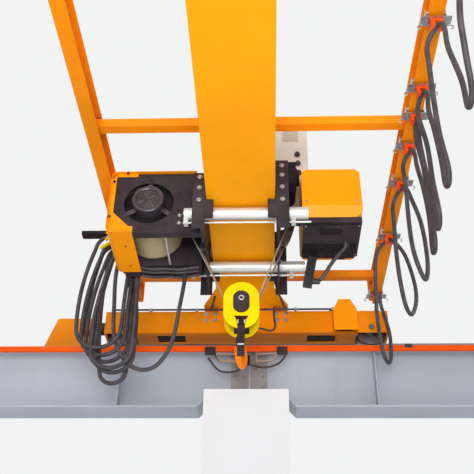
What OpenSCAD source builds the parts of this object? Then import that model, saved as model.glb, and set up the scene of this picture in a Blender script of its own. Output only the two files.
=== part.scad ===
// Single-girder overhead bridge crane on one bay of runway, in millimetres.
// X runs along the runway, Y along the girder, Z up, and the ground is z = 0.

/* [Runway] */
// Distance between the rails, centre to centre
span = 10000; // [9600:100:11000]
// Distance between the columns along the runway
bay = 6000; // [5000:100:7000]
// Length of the runway beams past the columns
overhang = 1800; // [1600:50:2400]
// Height of the rail's top above the ground
rail_top = 4200; // [4100:50:4600]
// Height of the runway beams
beam_h = 450; // [400:10:500]
// Width of the runway beams' flanges
beam_w = 200; // [180:10:240]
// Thickness of the runway beams' flanges
beam_flange_t = 14; // [10:1:20]
// Thickness of the runway beams' webs
beam_web_t = 9; // [6:1:14]
// Height of the crane rail
rail_h = 50; // [40:5:60]
// Width of the crane rail
rail_w = 50; // [40:5:56]
// Width of the square columns
col_w = 550; // [450:10:580]
// Depth of the notch that seats the beams on the columns
dap = 50; // [30:5:80]
// Wall of the columns
col_wall = 12; // [8:1:20]
// Margin of the base plates round the columns
base_margin = 75; // [70:1:100]
// Thickness of the base plates
base_t = 30; // [20:1:40]
// Distance of the anchor holes from the base plates' edges
anchor_edge = 40; // [28:1:44]
// Diameter of the anchor holes
anchor_d = 28; // [20:1:34]

/* [End stops] */
// Length of an end stop at its base
stop_l = 360; // [280:10:400]
// Height of an end stop
stop_h = 240; // [200:10:260]
// Thickness of an end stop's plates
stop_t = 12; // [8:1:16]
// Length of the rubber buffer
buffer_l = 64; // [40:2:80]
// Diameter of the rubber buffer
buffer_d = 90; // [60:2:110]

/* [Conductor line] */
// Height of the conductor bar's section
bar_h = 40; // [30:1:50]
// Depth of the conductor bar's section
bar_w = 22; // [16:1:28]
// Distance of the bar in front of the beam's flange
bar_off = 40; // [36:1:60]
// Distance between the bar's hangers
hanger_pitch = 1900; // [1500:50:2200]

/* [End trucks] */
// Length of an end truck
truck_l = 2000; // [1900:20:2100]
// Height of the end truck's box
truck_h = 170; // [160:5:180]
// Width of the end truck's box
truck_w = 200; // [190:5:220]
// Wall of the end truck's box
truck_wall = 8; // [6:1:10]
// Height of the box above the rail
truck_lift = 50; // [45:1:55]
// Radius of a truck wheel's tread
wheel_r = 90; // [84:1:92]
// Height of a truck wheel's flanges
wheel_flange = 14; // [8:1:15]
// Distance of the wheel's centre from the end of the truck
wheel_inset = 120; // [115:1:135]
// Radius of the wheel axles
axle_r = 20; // [16:1:24]

/* [Girder] */
// Width of the girder's bottom flange
girder_w = 400; // [380:5:420]
// Distance between the outer faces of the webs
girder_box = 260; // [240:5:270]
// Depth of the girder
girder_h = 600; // [550:10:700]
// Thickness of the girder's flanges
girder_flange_t = 14; // [10:1:18]
// Thickness of the girder's webs
girder_web_t = 8; // [6:1:10]
// Height of the seat between the truck and the girder
seat_h = 40; // [30:1:50]
// Width of the flared flange over the truck
flare_w = 600; // [560:5:640]
// Length of the flare
flare_l = 340; // [300:5:360]

/* [Side rails] */
// Distance of the left rail from the girder's centre
left_rail_x = 860; // [820:5:900]
// Distance of the festoon rail from the girder's centre
festoon_x = 985; // [960:5:1020]
// Height of a side rail's section
side_h = 140; // [120:2:160]
// Width of a side rail's flanges
side_w = 80; // [70:2:90]
// Thickness of a side rail's flanges
side_flange_t = 7; // [5:1:9]
// Thickness of a side rail's web
side_web_t = 5; // [4:1:8]
// Width of the square arms
arm_w = 60; // [50:2:70]
// Wall of the square arms
arm_wall = 4; // [3:0.5:6]
// Number of arms on each side of the middle one
arm_n = 3; // [2:1:5]

/* [Trolley] */
// Distance between the trolley's cross tubes
tube_pitch = 590; // [560:5:620]
// Diameter of the cross tubes
tube_d = 74; // [60:1:80]
// Radius of the trolley wheels
roller_r = 60; // [50:1:64]
// Distance of the trolley's side plates from the flange's edge
cheek_gap = 18; // [16:1:24]
// Thickness of the trolley's side plates
cheek_t = 12; // [8:1:14]

/* [Hoist] */
// Radius of the drum over its rope
drum_r = 172; // [168:1:178]
// Diameter of the wire rope
rope_d = 10; // [8:0.5:12]
// Radius of the round opening in the hoist's front plate
port_r = 150; // [134:1:154]
// Radius of the motor's fan cowl
cowl_r = 95; // [80:1:100]

/* [Hook block] */
// Radius of the block's sheaves over their rims
sheave_r = 88; // [76:1:90]
// Width of the block across its covers
block_t = 130; // [120:1:140]
// Inner radius of the hook's bowl
hook_r = 40; // [34:1:44]
// Thickness of the hook's section
hook_t = 40; // [30:1:44]

/* [Hidden] */
$fn = 48;

// Small overlap that fuses pieces of one solid and clears a cut
e = 0.5;
// Gap between things that roll or lie on each other
seat_gap = 0.3;
// Radial clearance of a shaft in its bore
run_gap = 0.05;
// Gap that stays between the buffer and the truck at the end of the travel
stop_gap = 6;

// Heights
beam_top = rail_top - rail_h;
beam_bottom = beam_top - beam_h;
truck_z = rail_top + truck_lift;
girder_z = truck_z + truck_h + seat_h;
axle_z = rail_top + seat_gap + wheel_r;

// Places of the bridge and the trolley at rest
park_off = -10;
bridge_x = -bay / 2 + park_off;
trolley_park = 1005;
trolley_y = span / 2 - trolley_park;
wheel_x = truck_l / 2 - wheel_inset;
beam_l = bay + 2 * overhang;
travel_end = -bridge_x + truck_l / 2 + stop_gap;

module on_bridge() { translate([bridge_x, 0, 0]) children(); }
module on_trolley() { translate([bridge_x, trolley_y, 0]) children(); }
module both_x() { children(); mirror([1, 0, 0]) children(); }
module both_y() { children(); mirror([0, 1, 0]) children(); }

// A box given by its centre in X and Y and its bottom
module block(size, at) {
    translate([at[0] - size[0] / 2, at[1] - size[1] / 2, at[2]]) cube(size);
}

// A rod along X, Y or Z from a point
module rod_x(r, l, at) { translate(at) rotate([0, 90, 0]) cylinder(r = r, h = l); }
module rod_y(r, l, at) { translate(at) rotate([-90, 0, 0]) cylinder(r = r, h = l); }
module rod_z(r, l, at) { translate(at) cylinder(r = r, h = l); }

// A rounded rectangle from its corner
module rounded(size, r) {
    union() {
        translate([r, 0]) square([size[0] - 2 * r, size[1]]);
        translate([0, r]) square([size[0], size[1] - 2 * r]);
        for (x = [r, size[0] - r], y = [r, size[1] - r]) translate([x, y]) circle(r = r);
    }
}

// An I section in the XZ plane that runs along Y, centred on x = 0, with its foot on z = 0
module i_profile(h, w, flange, web) {
    translate([-w / 2, 0]) square([w, flange]);
    translate([-w / 2, h - flange]) square([w, flange]);
    translate([-web / 2, 0]) square([web, h]);
}

// Runway

col_top = beam_bottom + dap;
module columns() color("white")
    both_x() both_y() translate([bay / 2, span / 2, base_t]) difference() {
        block([col_w, col_w, col_top - base_t], [0, 0, 0]);
        block([col_w - 2 * col_wall, col_w - 2 * col_wall, col_top - base_t - col_wall + e], [0, 0, -e]);
    }

module base_plates() color("lightgray")
    both_x() both_y() translate([bay / 2, span / 2, 0]) difference() {
        block([col_w + 2 * base_margin, col_w + 2 * base_margin, base_t], [0, 0, 0]);
        for (x = [-1, 1], y = [-1, 1]) let(at = col_w / 2 + base_margin - anchor_edge)
            rod_z(anchor_d / 2, base_t + 2 * e, [x * at, y * at, -e]);
    }

// Web stiffeners: two beside each column and two in the bay
stiffener_off = 875;
stiffener_t = 10;
stiffener_xs = [bay / 2 + stiffener_off, bay / 2 - stiffener_off, (bay / 2 - stiffener_off) / 3];
splice_w = 100;
splice_gap = 16;
splice_t = 12;
splice_top = beam_h - beam_flange_t - 40;

// The beam's lower edge at a height, raised in a notch over each column
dap_half = col_w / 2 + 10;
dap_slope = 46;
dap_side = [[dap_half + dap_slope, 0], [dap_half, dap], [-dap_half, dap], [-dap_half - dap_slope, 0]];
function dap_line(z) = concat([[-beam_l / 2, z]], [for (d = dap_side) [-bay / 2 - d[0], z + d[1]]],
    [for (d = dap_side) [bay / 2 - d[0], z + d[1]]], [[beam_l / 2, z]]);
function backwards(p) = [for (i = [len(p) - 1 : -1 : 0]) p[i]];

module runway_beam() color("lightsteelblue")
    translate([0, span / 2, beam_bottom]) {
        rotate([90, 0, 0]) linear_extrude(beam_w, center = true)
            polygon(concat(dap_line(0), backwards(dap_line(beam_flange_t))));
        rotate([90, 0, 0]) linear_extrude(beam_web_t, center = true)
            polygon(concat(dap_line(beam_flange_t - e),
                [[beam_l / 2, beam_h - beam_flange_t + e], [-beam_l / 2, beam_h - beam_flange_t + e]]));
        block([beam_l, beam_w, beam_flange_t], [0, 0, beam_h - beam_flange_t]);
        both_x() for (x = stiffener_xs)
            block([stiffener_t, beam_w - 10, beam_h - 2 * beam_flange_t + 2 * e],
                [x, 0, beam_flange_t - e]);
        both_x() for (side = [-1, 1])
            block([splice_w, beam_web_t + 2 * splice_t, splice_top - dap - beam_flange_t - 6],
                [bay / 2 + side * (splice_w + splice_gap) / 2, 0, dap + beam_flange_t + 6]);
    }

module runway_beam_far() runway_beam();
module runway_beam_near() mirror([0, 1, 0]) runway_beam();

rail_l = 2 * (travel_end - stop_gap);
module crane_rails() color("gray")
    both_y() block([rail_l, rail_w, rail_h], [0, span / 2, beam_top]);

// The stop is a box of plates, square on the side that takes the buffer
stop_w = 120;
stop_slope = 80;
stop_x = travel_end + buffer_l;
module end_stops() color("orange")
    both_x() both_y() translate([stop_x, span / 2, beam_top]) {
        for (side = [-1, 1]) translate([0, side * (stop_w - stop_t) / 2 + stop_t / 2, 0])
            rotate([90, 0, 0]) linear_extrude(stop_t)
                polygon([[0, 0], [stop_l, 0], [stop_l - stop_slope, stop_h], [0, stop_h]]);
        translate([0, -stop_w / 2, 0]) cube([stop_t, stop_w, stop_h]);
        translate([0, -stop_w / 2, 0]) cube([stop_l, stop_w, stop_t]);
        translate([0, -stop_w / 2, stop_h - stop_t]) cube([stop_l - stop_slope, stop_w, stop_t]);
    }

// The buffer's axis is at the middle of the truck's end
buffer_z = truck_z + truck_h / 2;
module stop_buffers() color("black")
    both_x() both_y() translate([travel_end, span / 2, buffer_z]) {
        rod_x(buffer_d / 2, buffer_l, [0, 0, 0]);
        rod_x(buffer_d / 2 - 10, buffer_l, [0, 0, 0]);
    }

bar_y = span / 2 - beam_w / 2 - bar_off - bar_w / 2;
bar_z = beam_top - 70;
module conductor_bar() color("orangered")
    translate([0, bar_y, bar_z]) rotate([90, 0, 90]) linear_extrude(beam_l - 100, center = true)
        difference() {
            translate([-bar_w / 2, 0]) rounded([bar_w, bar_h], 5);
            translate([-3, -e]) square([6, bar_h - 12]);
        }

// Hangers clipped over the bar and bolted under the beam's top flange
hanger_w = 50;
hanger_t = 5;
hanger_n = floor((beam_l - 400) / hanger_pitch / 2);
module conductor_hangers() color("black")
    for (i = [-hanger_n : hanger_n]) translate([i * hanger_pitch, 0, 0]) {
        translate([0, bar_y, bar_z]) difference() {
            block([hanger_w, bar_w + 2 * hanger_t, bar_h / 2 + hanger_t], [0, 0, bar_h / 2]);
            block([hanger_w + 2 * e, bar_w + 2 * seat_gap, bar_h / 2 + seat_gap + e], [0, 0, bar_h / 2 - e]);
        }
        translate([-hanger_w / 4, bar_y, bar_z + bar_h + hanger_t / 2])
            cube([hanger_w / 2, hanger_t, beam_top - beam_flange_t - bar_z - bar_h - hanger_t / 2]);
        translate([-hanger_w / 4, bar_y, beam_top - beam_flange_t - hanger_t])
            cube([hanger_w / 2, bar_off + bar_w / 2 + 40, hanger_t]);
    }

// Feed clips on the bar over the left far column, and the arms that carry them from the splice
feed_xs = [-250, 240];
feed_post_x = 64;
feed_post_z = bar_z - 80;
feed_face = span / 2 - beam_web_t / 2 - splice_t;
feed_y = bar_y + bar_w / 2 + 2;
module line_feeds() color("black") translate([-bay / 2, 0, 0]) for (x = feed_xs) {
    in = x > 0 ? -1 : 1;
    translate([x, bar_y, bar_z]) difference() {
        block([74, bar_w + 18, 44], [0, 0, -18]);
        block([74 + 2 * e, bar_w + 2 * seat_gap, 44], [0, 0, -seat_gap]);
    }
    block([8, feed_face - feed_y, 84], [-in * feed_post_x, (feed_face + feed_y) / 2, feed_post_z]);
    translate([0, feed_y + 12, 0]) rotate([90, 0, 0]) linear_extrude(12) {
        polygon([[x, bar_z - 16], [-in * feed_post_x, bar_z - 16], [-in * feed_post_x, bar_z - 4], [x,
            bar_z - 4]]);
        polygon([[x, bar_z - 16], [x + in * 24, bar_z - 16], [x + in * 66, bar_z - 68],
            [-in * feed_post_x, bar_z - 74],
            [-in * feed_post_x, bar_z - 62], [x + in * 72, bar_z - 56], [x + in * 30, bar_z - 4], [x,
                bar_z - 4]]);
    }
}

// Bridge

// Half the girder's length, out to the far face of the end trucks
girder_end = span / 2 + truck_w / 2;
girder_top_w = girder_box + 60;
module girder() color("orange") on_bridge() translate([0, 0, girder_z]) {
    linear_extrude(girder_flange_t) polygon([
        [girder_w / 2, girder_end - flare_l - truck_w / 2], [flare_w / 2, girder_end - truck_w],
        [flare_w / 2, girder_end], [-flare_w / 2, girder_end],
        [-flare_w / 2, girder_end - truck_w], [-girder_w / 2, girder_end - flare_l - truck_w / 2],
        [-girder_w / 2, -(girder_end - flare_l - truck_w / 2)], [-flare_w / 2, -(girder_end - truck_w)],
        [-flare_w / 2, -girder_end], [flare_w / 2, -girder_end],
        [flare_w / 2, -(girder_end - truck_w)], [girder_w / 2, -(girder_end - flare_l - truck_w / 2)]]);
    block([girder_top_w, 2 * girder_end, girder_flange_t], [0, 0, girder_h - girder_flange_t]);
    difference() {
        block([girder_box, 2 * girder_end - 40, girder_h - 2 * girder_flange_t + 2 * e],
            [0, 0, girder_flange_t - e]);
        block([girder_box - 2 * girder_web_t, 2 * girder_end - 60, girder_h - 2 * girder_flange_t],
            [0, 0, girder_flange_t]);
    }
}

// The seat on the truck's top, and the bolted plate on the truck's inner face
seat_w = girder_w - 4;
seat_t = 10;
module girder_seats() color("orange") on_bridge() both_y() {
    block([seat_w, truck_w, seat_h], [0, span / 2, truck_z + truck_h]);
    translate([-seat_w / 2, span / 2 - truck_w / 2 - seat_t, truck_z + 5])
        cube([seat_w, seat_t, truck_h + seat_h - 5]);
}

// Space for a wheel in the truck, open at the foot
hand_hole = [200, 110];
hand_hole_x = 530;
module end_truck() color("darkorange") translate([0, span / 2, 0]) difference() {
    block([truck_l, truck_w, truck_h], [0, 0, truck_z]);
    block([truck_l - 2 * truck_wall, truck_w - 2 * truck_wall, truck_h - 2 * truck_wall],
        [0, 0, truck_z + truck_wall]);
    for (side = [-1, 1]) {
        block([2 * (wheel_r + wheel_flange), truck_w - 2 * truck_wall, truck_wall + 2 * e],
            [side * wheel_x, 0, truck_z - e]);
        block([hand_hole[0], hand_hole[1], truck_wall + 2 * e], [side * hand_hole_x, 0, truck_z - e]);
        rod_y(axle_r + run_gap, truck_w + 2 * e, [side * wheel_x, -truck_w / 2 - e, axle_z]);
    }
}
module end_truck_far() on_bridge() end_truck();
module end_truck_near() on_bridge() mirror([0, 1, 0]) end_truck();

// A double-flanged wheel on its own axle, turned about the axle
wheel_gap = 6;
wheel_rim_t = 13;
hub_half = truck_w / 2 - truck_wall - 4;
module truck_wheel() color("dimgray") translate([wheel_x, span / 2, axle_z]) rotate([90, 0, 0])
    rotate_extrude() polygon([
        [0, -truck_w / 2 - 8], [axle_r, -truck_w / 2 - 8], [axle_r, -hub_half],
        [axle_r + 14, -hub_half], [axle_r + 14, -rail_w / 2 - wheel_gap - wheel_rim_t],
        [wheel_r + wheel_flange, -rail_w / 2 - wheel_gap - wheel_rim_t],
        [wheel_r + wheel_flange, -rail_w / 2 - wheel_gap - 4], [wheel_r, -rail_w / 2 - wheel_gap],
        [wheel_r, rail_w / 2 + wheel_gap], [wheel_r + wheel_flange, rail_w / 2 + wheel_gap + 4],
        [wheel_r + wheel_flange, rail_w / 2 + wheel_gap + wheel_rim_t],
        [axle_r + 14, rail_w / 2 + wheel_gap + wheel_rim_t], [axle_r + 14, hub_half],
        [axle_r, hub_half], [axle_r, truck_w / 2 + 8], [0, truck_w / 2 + 8]]);
module wheel_far_right() on_bridge() truck_wheel();
module wheel_far_left() on_bridge() mirror([1, 0, 0]) truck_wheel();
module wheel_near_right() on_bridge() mirror([0, 1, 0]) truck_wheel();
module wheel_near_left() on_bridge() mirror([1, 0, 0]) mirror([0, 1, 0]) truck_wheel();

// Travel drive: a gear motor on the truck's inner face under an orange cover
drive_x = 693;
drive_l = 100;
drive_z = truck_z + truck_h / 2;
truck_face = span / 2 - truck_w / 2;
cover_w = 163;
cover_t = 4;
cover_lift = 20;
cover_wall_h = 160;
cover_h = 240;
cover_bottom = rail_top + cover_lift;
cover_eaves = cover_bottom + cover_wall_h;
cover_top = cover_bottom + cover_h;
module travel_motors() color("dimgray") on_bridge() both_y() {
    rod_y(46, drive_l - 40, [drive_x, truck_face - drive_l + 10, drive_z]);
    translate([drive_x, truck_face - 40, drive_z]) rotate([90, 0, 0])
        translate([-60, -75, -40]) linear_extrude(60) rounded([120, 150], 20);
}

module cover_outline(inset) polygon([
    [-cover_w / 2 + inset, cover_bottom - (inset > 0 ? e : 0)], [cover_w / 2 - inset,
        cover_bottom - (inset > 0 ? e : 0)],
    [cover_w / 2 - inset, cover_eaves], [cover_w / 4, cover_top - inset],
    [-cover_w / 4, cover_top - inset], [-cover_w / 2 + inset, cover_eaves]]);
module drive_covers() color("orange") on_bridge() both_y() difference() {
    translate([drive_x, truck_face, 0]) rotate([90, 0, 0]) linear_extrude(drive_l) cover_outline(0);
    translate([drive_x, truck_face + e, 0]) rotate([90, 0, 0])
        linear_extrude(drive_l - cover_t + e) cover_outline(cover_t);
}

// Side rails and the arms that carry them
side_lift = 290;
side_over = 290;
side_z = girder_z + side_lift;
side_end = span / 2 + side_over;
arm_pitch = (girder_end - arm_w / 2) / arm_n;
arm_z = side_z + (side_h - arm_w) / 2;
end_plate = [100, 8, 180];
module side_rail(x) {
    translate([x, 0, side_z]) rotate([90, 0, 0]) linear_extrude(2 * side_end, center = true)
        i_profile(side_h, side_w, side_flange_t, side_web_t);
    both_y() block(end_plate, [x, side_end + end_plate[1] / 2, side_z - 20]);
}
module left_rail() color("orange") on_bridge() side_rail(-left_rail_x);
module festoon_rail() color("orange") on_bridge() side_rail(festoon_x);

module side_arm(x) difference() {
    translate([girder_box / 2, -arm_w / 2, arm_z]) cube([x - girder_box / 2 - side_web_t / 2, arm_w, arm_w]);
    translate([girder_box / 2 - e, -arm_w / 2 + arm_wall, arm_z + arm_wall])
        cube([x - girder_box / 2 - side_web_t / 2 + 2 * e, arm_w - 2 * arm_wall, arm_w - 2 * arm_wall]);
}
module side_arms() color("orange") on_bridge() for (i = [-arm_n : arm_n]) translate([0, i * arm_pitch, 0]) {
    side_arm(festoon_x);
    mirror([1, 0, 0]) side_arm(left_rail_x);
}

// Festoon carriers: four rollers on the rail's bottom flange, a cross plate and a cable saddle
carrier_offs = [60, 870, 1455, 1805, 2061, 2280, 2738, 3335];
carrier_ys = [for (d = carrier_offs) side_end - d];
carrier_plate = [150, 60, 6];
carrier_z = side_z - 24;
hanger_arm_t = 5;
roller_small_r = 12;
module festoon_carriers() color("silver") on_bridge() for (y = carrier_ys) translate([festoon_x, y, 0]) {
    block(carrier_plate, [0, 0, carrier_z]);
    both_x() {
        block([hanger_arm_t, 50, side_flange_t + 24 + 30], [side_w / 2 + 8, 0, carrier_z]);
        for (side = [-1, 1])
            rod_x(roller_small_r, 30,
                [side_w / 2 - 20, side * 13, side_z + side_flange_t + seat_gap + roller_small_r]);
    }
}

cable_d = 26;
cable_z = carrier_z - 30;
module cable_clamps() color("orangered") on_bridge() for (y = carrier_ys) translate([festoon_x, y, 0])
    difference() {
        block([60, 44, carrier_z - cable_z + cable_d / 2 + 6], [0, 0, cable_z - cable_d / 2 - 6]);
        rod_y(cable_d / 2 + seat_gap, 44 + 2 * e, [0, -22 - e, cable_z]);
    }

// A tube swept along a list of points, with a flat end at each end
function unit(v) = v / norm(v);
function along(p, i) = unit(p[min(i + 1, len(p) - 1)] - p[max(i - 1, 0)]);
function across(t) = unit(cross(t, abs(t[0]) > 0.9 ? [0, 1, 0] : [1, 0, 0]));
module tube(p, d, sides = 8) {
    n = len(p);
    polyhedron(
        points = [for (i = [0 : n - 1]) let(t = along(p, i), u = across(t), v = cross(t, u))
            for (k = [0 : sides - 1]) p[i] + d / 2 * (cos(360 * k / sides) * u + sin(360 * k / sides) * v)],
        faces = concat([[for (k = [0 : sides - 1]) k]],
            [[for (k = [sides - 1 : -1 : 0]) (n - 1) * sides + k]],
            [for (i = [0 : n - 2], k = [0 : sides - 1]) let(a = i * sides, b = (k + 1) % sides)
                each [[a + b, a + k, a + sides + k], [a + b, a + sides + k, a + sides + b]]]));
}

// The festoon cable's route: down to the bottom of each loop and up to the next saddle
loop_zs = [3922, 3950, 3908, 3886, 3877, 3880, 3883];
loop_xs = [0, 27, 30, 26, 10, 0, 0];
function loop_side(m, w, r, x, z, side) = [[festoon_x, m + side * w, cable_z],
    [festoon_x + x / 2, m + side * (r * 0.65 + w * 0.35), (cable_z + z) / 2],
    [festoon_x + x, m + side * r, z + r], [festoon_x + x, m + side * r * 0.71, z + r * 0.29]];
function loop_points(i) = let(a = carrier_ys[i], b = carrier_ys[i + 1], m = (a + b) / 2,
    w = (a - b) / 2 - 38, r = (a - b) * 0.27, x = loop_xs[i], z = loop_zs[i])
    concat(loop_side(m, w, r, x, z, 1), [[festoon_x + x, m, z]], backwards(loop_side(m, w, r, x, z, -1)));
first_rise = [[640, -340, 4436], [720, -340, 4436], [830, -230, 4470], [940, -90, 4600],
    [975, -28, 4664], [festoon_x, -20, cable_z]];
first_loop = [[0, -95, cable_z], [0, -190, 4660], [-5, -330, 4600], [-15, -425, 4480], [-25, -470, 4330],
    [-35, -505, 4180], [-42, -528, 4020], [-45, -565, loop_zs[0]], [-40, -612, 4000], [-25, -665, 4220],
    [-10, -745, 4480], [0, -805, 4640], [0, -832, cable_z]];
last_fall = [[-3373, cable_z], [-3410, cable_z - 60], [-3425, cable_z - 120], [-3425, cable_z - 160]];
festoon_route = concat([for (p = first_rise) [p[0], side_end + p[1], p[2]]],
    [for (p = first_loop) [festoon_x + p[0], side_end + p[1], p[2]]],
    [for (i = [1 : 6]) each loop_points(i)],
    [for (p = last_fall) [festoon_x, side_end + p[0], p[1]]]);
module festoon_cable() color("black") on_bridge() tube(festoon_route, cable_d);
tow_plug_l = 120;
tow_drop = 160;
feed_box = [44, 40, 34];
module festoon_plug() color("black") on_bridge() {
    translate([first_rise[0][0] - feed_box[0], side_end + first_rise[0][1] - feed_box[1] / 2,
        truck_z + truck_h])
        cube(feed_box);
    rod_z(24, tow_plug_l, [festoon_x, side_end + last_fall[3][0], cable_z - tow_drop - tow_plug_l]);
}

// Control panel on the girder's right web
panel = [258, 420, 440];
panel_x = girder_top_w / 2 + 4;
panel_park = 1100;
panel_y = span / 2 - panel_park;
panel_lift = 340;
panel_z = girder_z + panel_lift;
louvre_n = 6;
module control_panel() color("linen") on_bridge() {
    difference() {
        translate([panel_x, panel_y, panel_z]) cube(panel);
        for (i = [0 : louvre_n - 1]) translate([panel_x + 98, panel_y - e,
            panel_z + 335 + i * 17]) cube([100, 5, 7]);
    }
    for (z = [60, 200]) translate([girder_box / 2, panel_y + 40, panel_z + z])
        cube([panel_x + e - girder_box / 2, panel[1] - 80, 30]);
}

// Trolley

cheek_x = girder_w / 2 + cheek_gap;
cheek_out = cheek_x + cheek_t;
cheek_top = girder_z + 280;
left_cheek_top = girder_z + 190;
cheek_foot = girder_z - 210;
cheek_arch = girder_z - 110;
foot_out = 86;
foot_in = tube_pitch / 2 - 70;
arch_in = tube_pitch / 2 - 120;
cheek_l = tube_pitch + 2 * foot_out;
channel_w = 64;
channel_in = girder_w / 2 + 5;
channel_t = 8;
tube_z = girder_z - 52;
roller_z = girder_z + girder_flange_t + seat_gap + roller_r;
roller_axle_r = 14;

guide_tab = 60;

// A side plate with a channel flange at each end, arched in the middle for the ropes
module cheek(top) {
    difference() {
        translate([cheek_x, 0, 0]) rotate([90, 0, 90]) linear_extrude(cheek_t) polygon([
            [-cheek_l / 2, cheek_foot], [-foot_in, cheek_foot], [-arch_in, cheek_arch],
            [arch_in, cheek_arch], [foot_in, cheek_foot], [cheek_l / 2, cheek_foot],
            [cheek_l / 2, top], [-cheek_l / 2, top]]);
        for (side = [-1, 1]) {
            rod_x(tube_d / 2 + run_gap, cheek_t + 2 * e, [cheek_x - e, side * tube_pitch / 2, tube_z]);
            rod_x(roller_axle_r + run_gap, cheek_t + 2 * e, [cheek_x - e, side * tube_pitch / 2, roller_z]);
            rod_x(clamp_rod_r + run_gap, cheek_t + 2 * e, [cheek_x - e, side * tube_pitch / 2, clamp_z]);
        }
    }
    both_y() translate([channel_in, -cheek_l / 2, cheek_foot])
        cube([cheek_x + channel_w - channel_in, channel_t, top - cheek_foot]);
    translate([cheek_x - guide_tab, -cheek_l / 2, girder_z - 140]) cube([guide_tab + e, channel_t, 132]);
    translate([cheek_x - guide_tab, cheek_l / 2 - 40, girder_z - 109]) cube([guide_tab + e, 40, 60]);
}
module left_cheek() color("dimgray") on_trolley() mirror([1, 0, 0]) cheek(left_cheek_top);
module right_cheek() color("dimgray") on_trolley() cheek(cheek_top);

tube_left = -335;
tube_right = 395;
module cross_tubes() color("silver") on_trolley() for (side = [-1, 1])
    rod_x(tube_d / 2, tube_right - tube_left, [tube_left, side * tube_pitch / 2, tube_z]);

// Thin rods under the tubes, held to them by collars outside the side plates
clamp_rod_r = 6;
clamp_z = tube_z - 62;
clamp_rod_l = 750;
clamp_rod_left = -340;
collar_w = 26;
collar_xs = [-322, 308];
module clamp_rods() color("silver") on_trolley() for (side = [-1, 1]) translate([0, side * tube_pitch / 2, 0]) {
    rod_x(clamp_rod_r, clamp_rod_l, [clamp_rod_left, 0, clamp_z]);
    for (x = collar_xs) difference() {
        block([collar_w, 34, tube_z - clamp_z + 16], [x, 0, clamp_z - 16]);
        rod_x(tube_d / 2 + run_gap, collar_w + 2 * e, [x - collar_w / 2 - e, 0, tube_z]);
    }
}

// Wheels on the bottom flange, each on a stub axle in the side plate
roller_w = 48;
roller_x = girder_w / 2 - roller_w + 6;
module trolley_wheels() color("dimgray") on_trolley() both_x() for (side = [-1, 1])
    translate([roller_x, side * tube_pitch / 2, roller_z]) rotate([0, 90, 0]) rotate_extrude()
        polygon([[0, 0], [roller_r - 3, 0], [roller_r, 3], [roller_r, roller_w - 4],
            [roller_r + 12, roller_w], [roller_r + 12, roller_w + 8], [roller_axle_r, roller_w + 8],
            [roller_axle_r, cheek_out - roller_x], [0, cheek_out - roller_x]]);

// Gear motor of the trolley, on the outside of the right side plate
motor_x = cheek_out + 56;
motor_z = girder_z + 235;
module travel_motor() color("black") on_trolley() {
    rod_y(48, 230, [motor_x, -cheek_l / 2 + channel_t + 110, motor_z]);
    translate([cheek_out, -cheek_l / 2 + channel_t + 20, motor_z - 110]) cube([100, 90, 165]);
}

// Hoist: plates around the drum, with the motor inside it
hoist_left = -770;
hoist_right = -cheek_out;
hoist_front = -250;
hoist_depth = 495;
hoist_z = girder_z - 155;
hoist_h = 445;
plate_t = 8;
lip = 50;
foot_w = 126;
drum_x = -560;
drum_z = girder_z + 67;
hoist_rear = hoist_front + hoist_depth;
hoist_top = hoist_z + hoist_h;
module hoist_frame() color("dimgray") on_trolley() {
    translate([0, hoist_front + plate_t, 0]) rotate([90, 0, 0]) linear_extrude(plate_t) difference() {
        polygon([[hoist_left, hoist_z + 152], [hoist_left + 98, hoist_z + 52],
            [hoist_left + foot_w, hoist_z + 48], [hoist_left + foot_w, hoist_z], [hoist_right, hoist_z],
                [hoist_right, hoist_top], [hoist_left + 25, hoist_top], [hoist_left, hoist_top - 25]]);
        translate([drum_x, drum_z]) circle(r = port_r);
    }
    translate([hoist_left + foot_w, hoist_front, hoist_z]) cube([hoist_right - hoist_left - foot_w, lip,
        plate_t]);
    translate([0, hoist_rear, 0]) rotate([90, 0, 0]) linear_extrude(plate_t)
        polygon([[hoist_left, hoist_z + 30], [hoist_right, hoist_z + 30], [hoist_right, hoist_top],
            [hoist_left + 25, hoist_top], [hoist_left, hoist_top - 25]]);
    translate([hoist_left + 25, hoist_front, hoist_top - plate_t])
        cube([hoist_right - hoist_left - 25, hoist_depth, plate_t]);
    translate([hoist_right - plate_t, hoist_front, hoist_z + 80]) cube([plate_t, hoist_depth, hoist_h - 80]);
}

// Sheet cover round the left side, with its top strip and its foot
cover_sheet = 3;
cover_gap = 27;
cover_l = 450;
cover_foot = 154;
module hoist_cover() color("orange") on_trolley() translate([0, hoist_front, 0]) rotate([90, 0, 0]) {
    translate([0, 0, -cover_l + 25]) linear_extrude(cover_l) difference() {
        translate([hoist_left - cover_gap - cover_sheet, hoist_z - cover_sheet])
            rounded([hoist_right - hoist_left + cover_gap + cover_sheet, hoist_h + 2 * cover_sheet], 40);
        translate([hoist_left - cover_gap, hoist_z])
            rounded([hoist_right - hoist_left + 2 * cover_gap, hoist_h + seat_gap], 40 - cover_sheet);
        translate([hoist_left - cover_gap + cover_foot, hoist_z - 50]) square([500, 250]);
        translate([hoist_right - 45, hoist_z]) square([100, hoist_h + 50]);
    }
    translate([0, 0, 0.3]) linear_extrude(cover_sheet) polygon([
        [hoist_left - cover_gap, hoist_z], [hoist_left + foot_w, hoist_z], [hoist_left + foot_w,
            hoist_z + 48],
        [hoist_left + 98, hoist_z + 52], [hoist_left, hoist_z + 152], [hoist_left, hoist_top - 22],
        [hoist_left + 130, hoist_top - 22], [hoist_left + 130, hoist_top], [hoist_left + 10, hoist_top],
        [hoist_left - cover_gap, hoist_top - 38]]);
}

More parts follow.
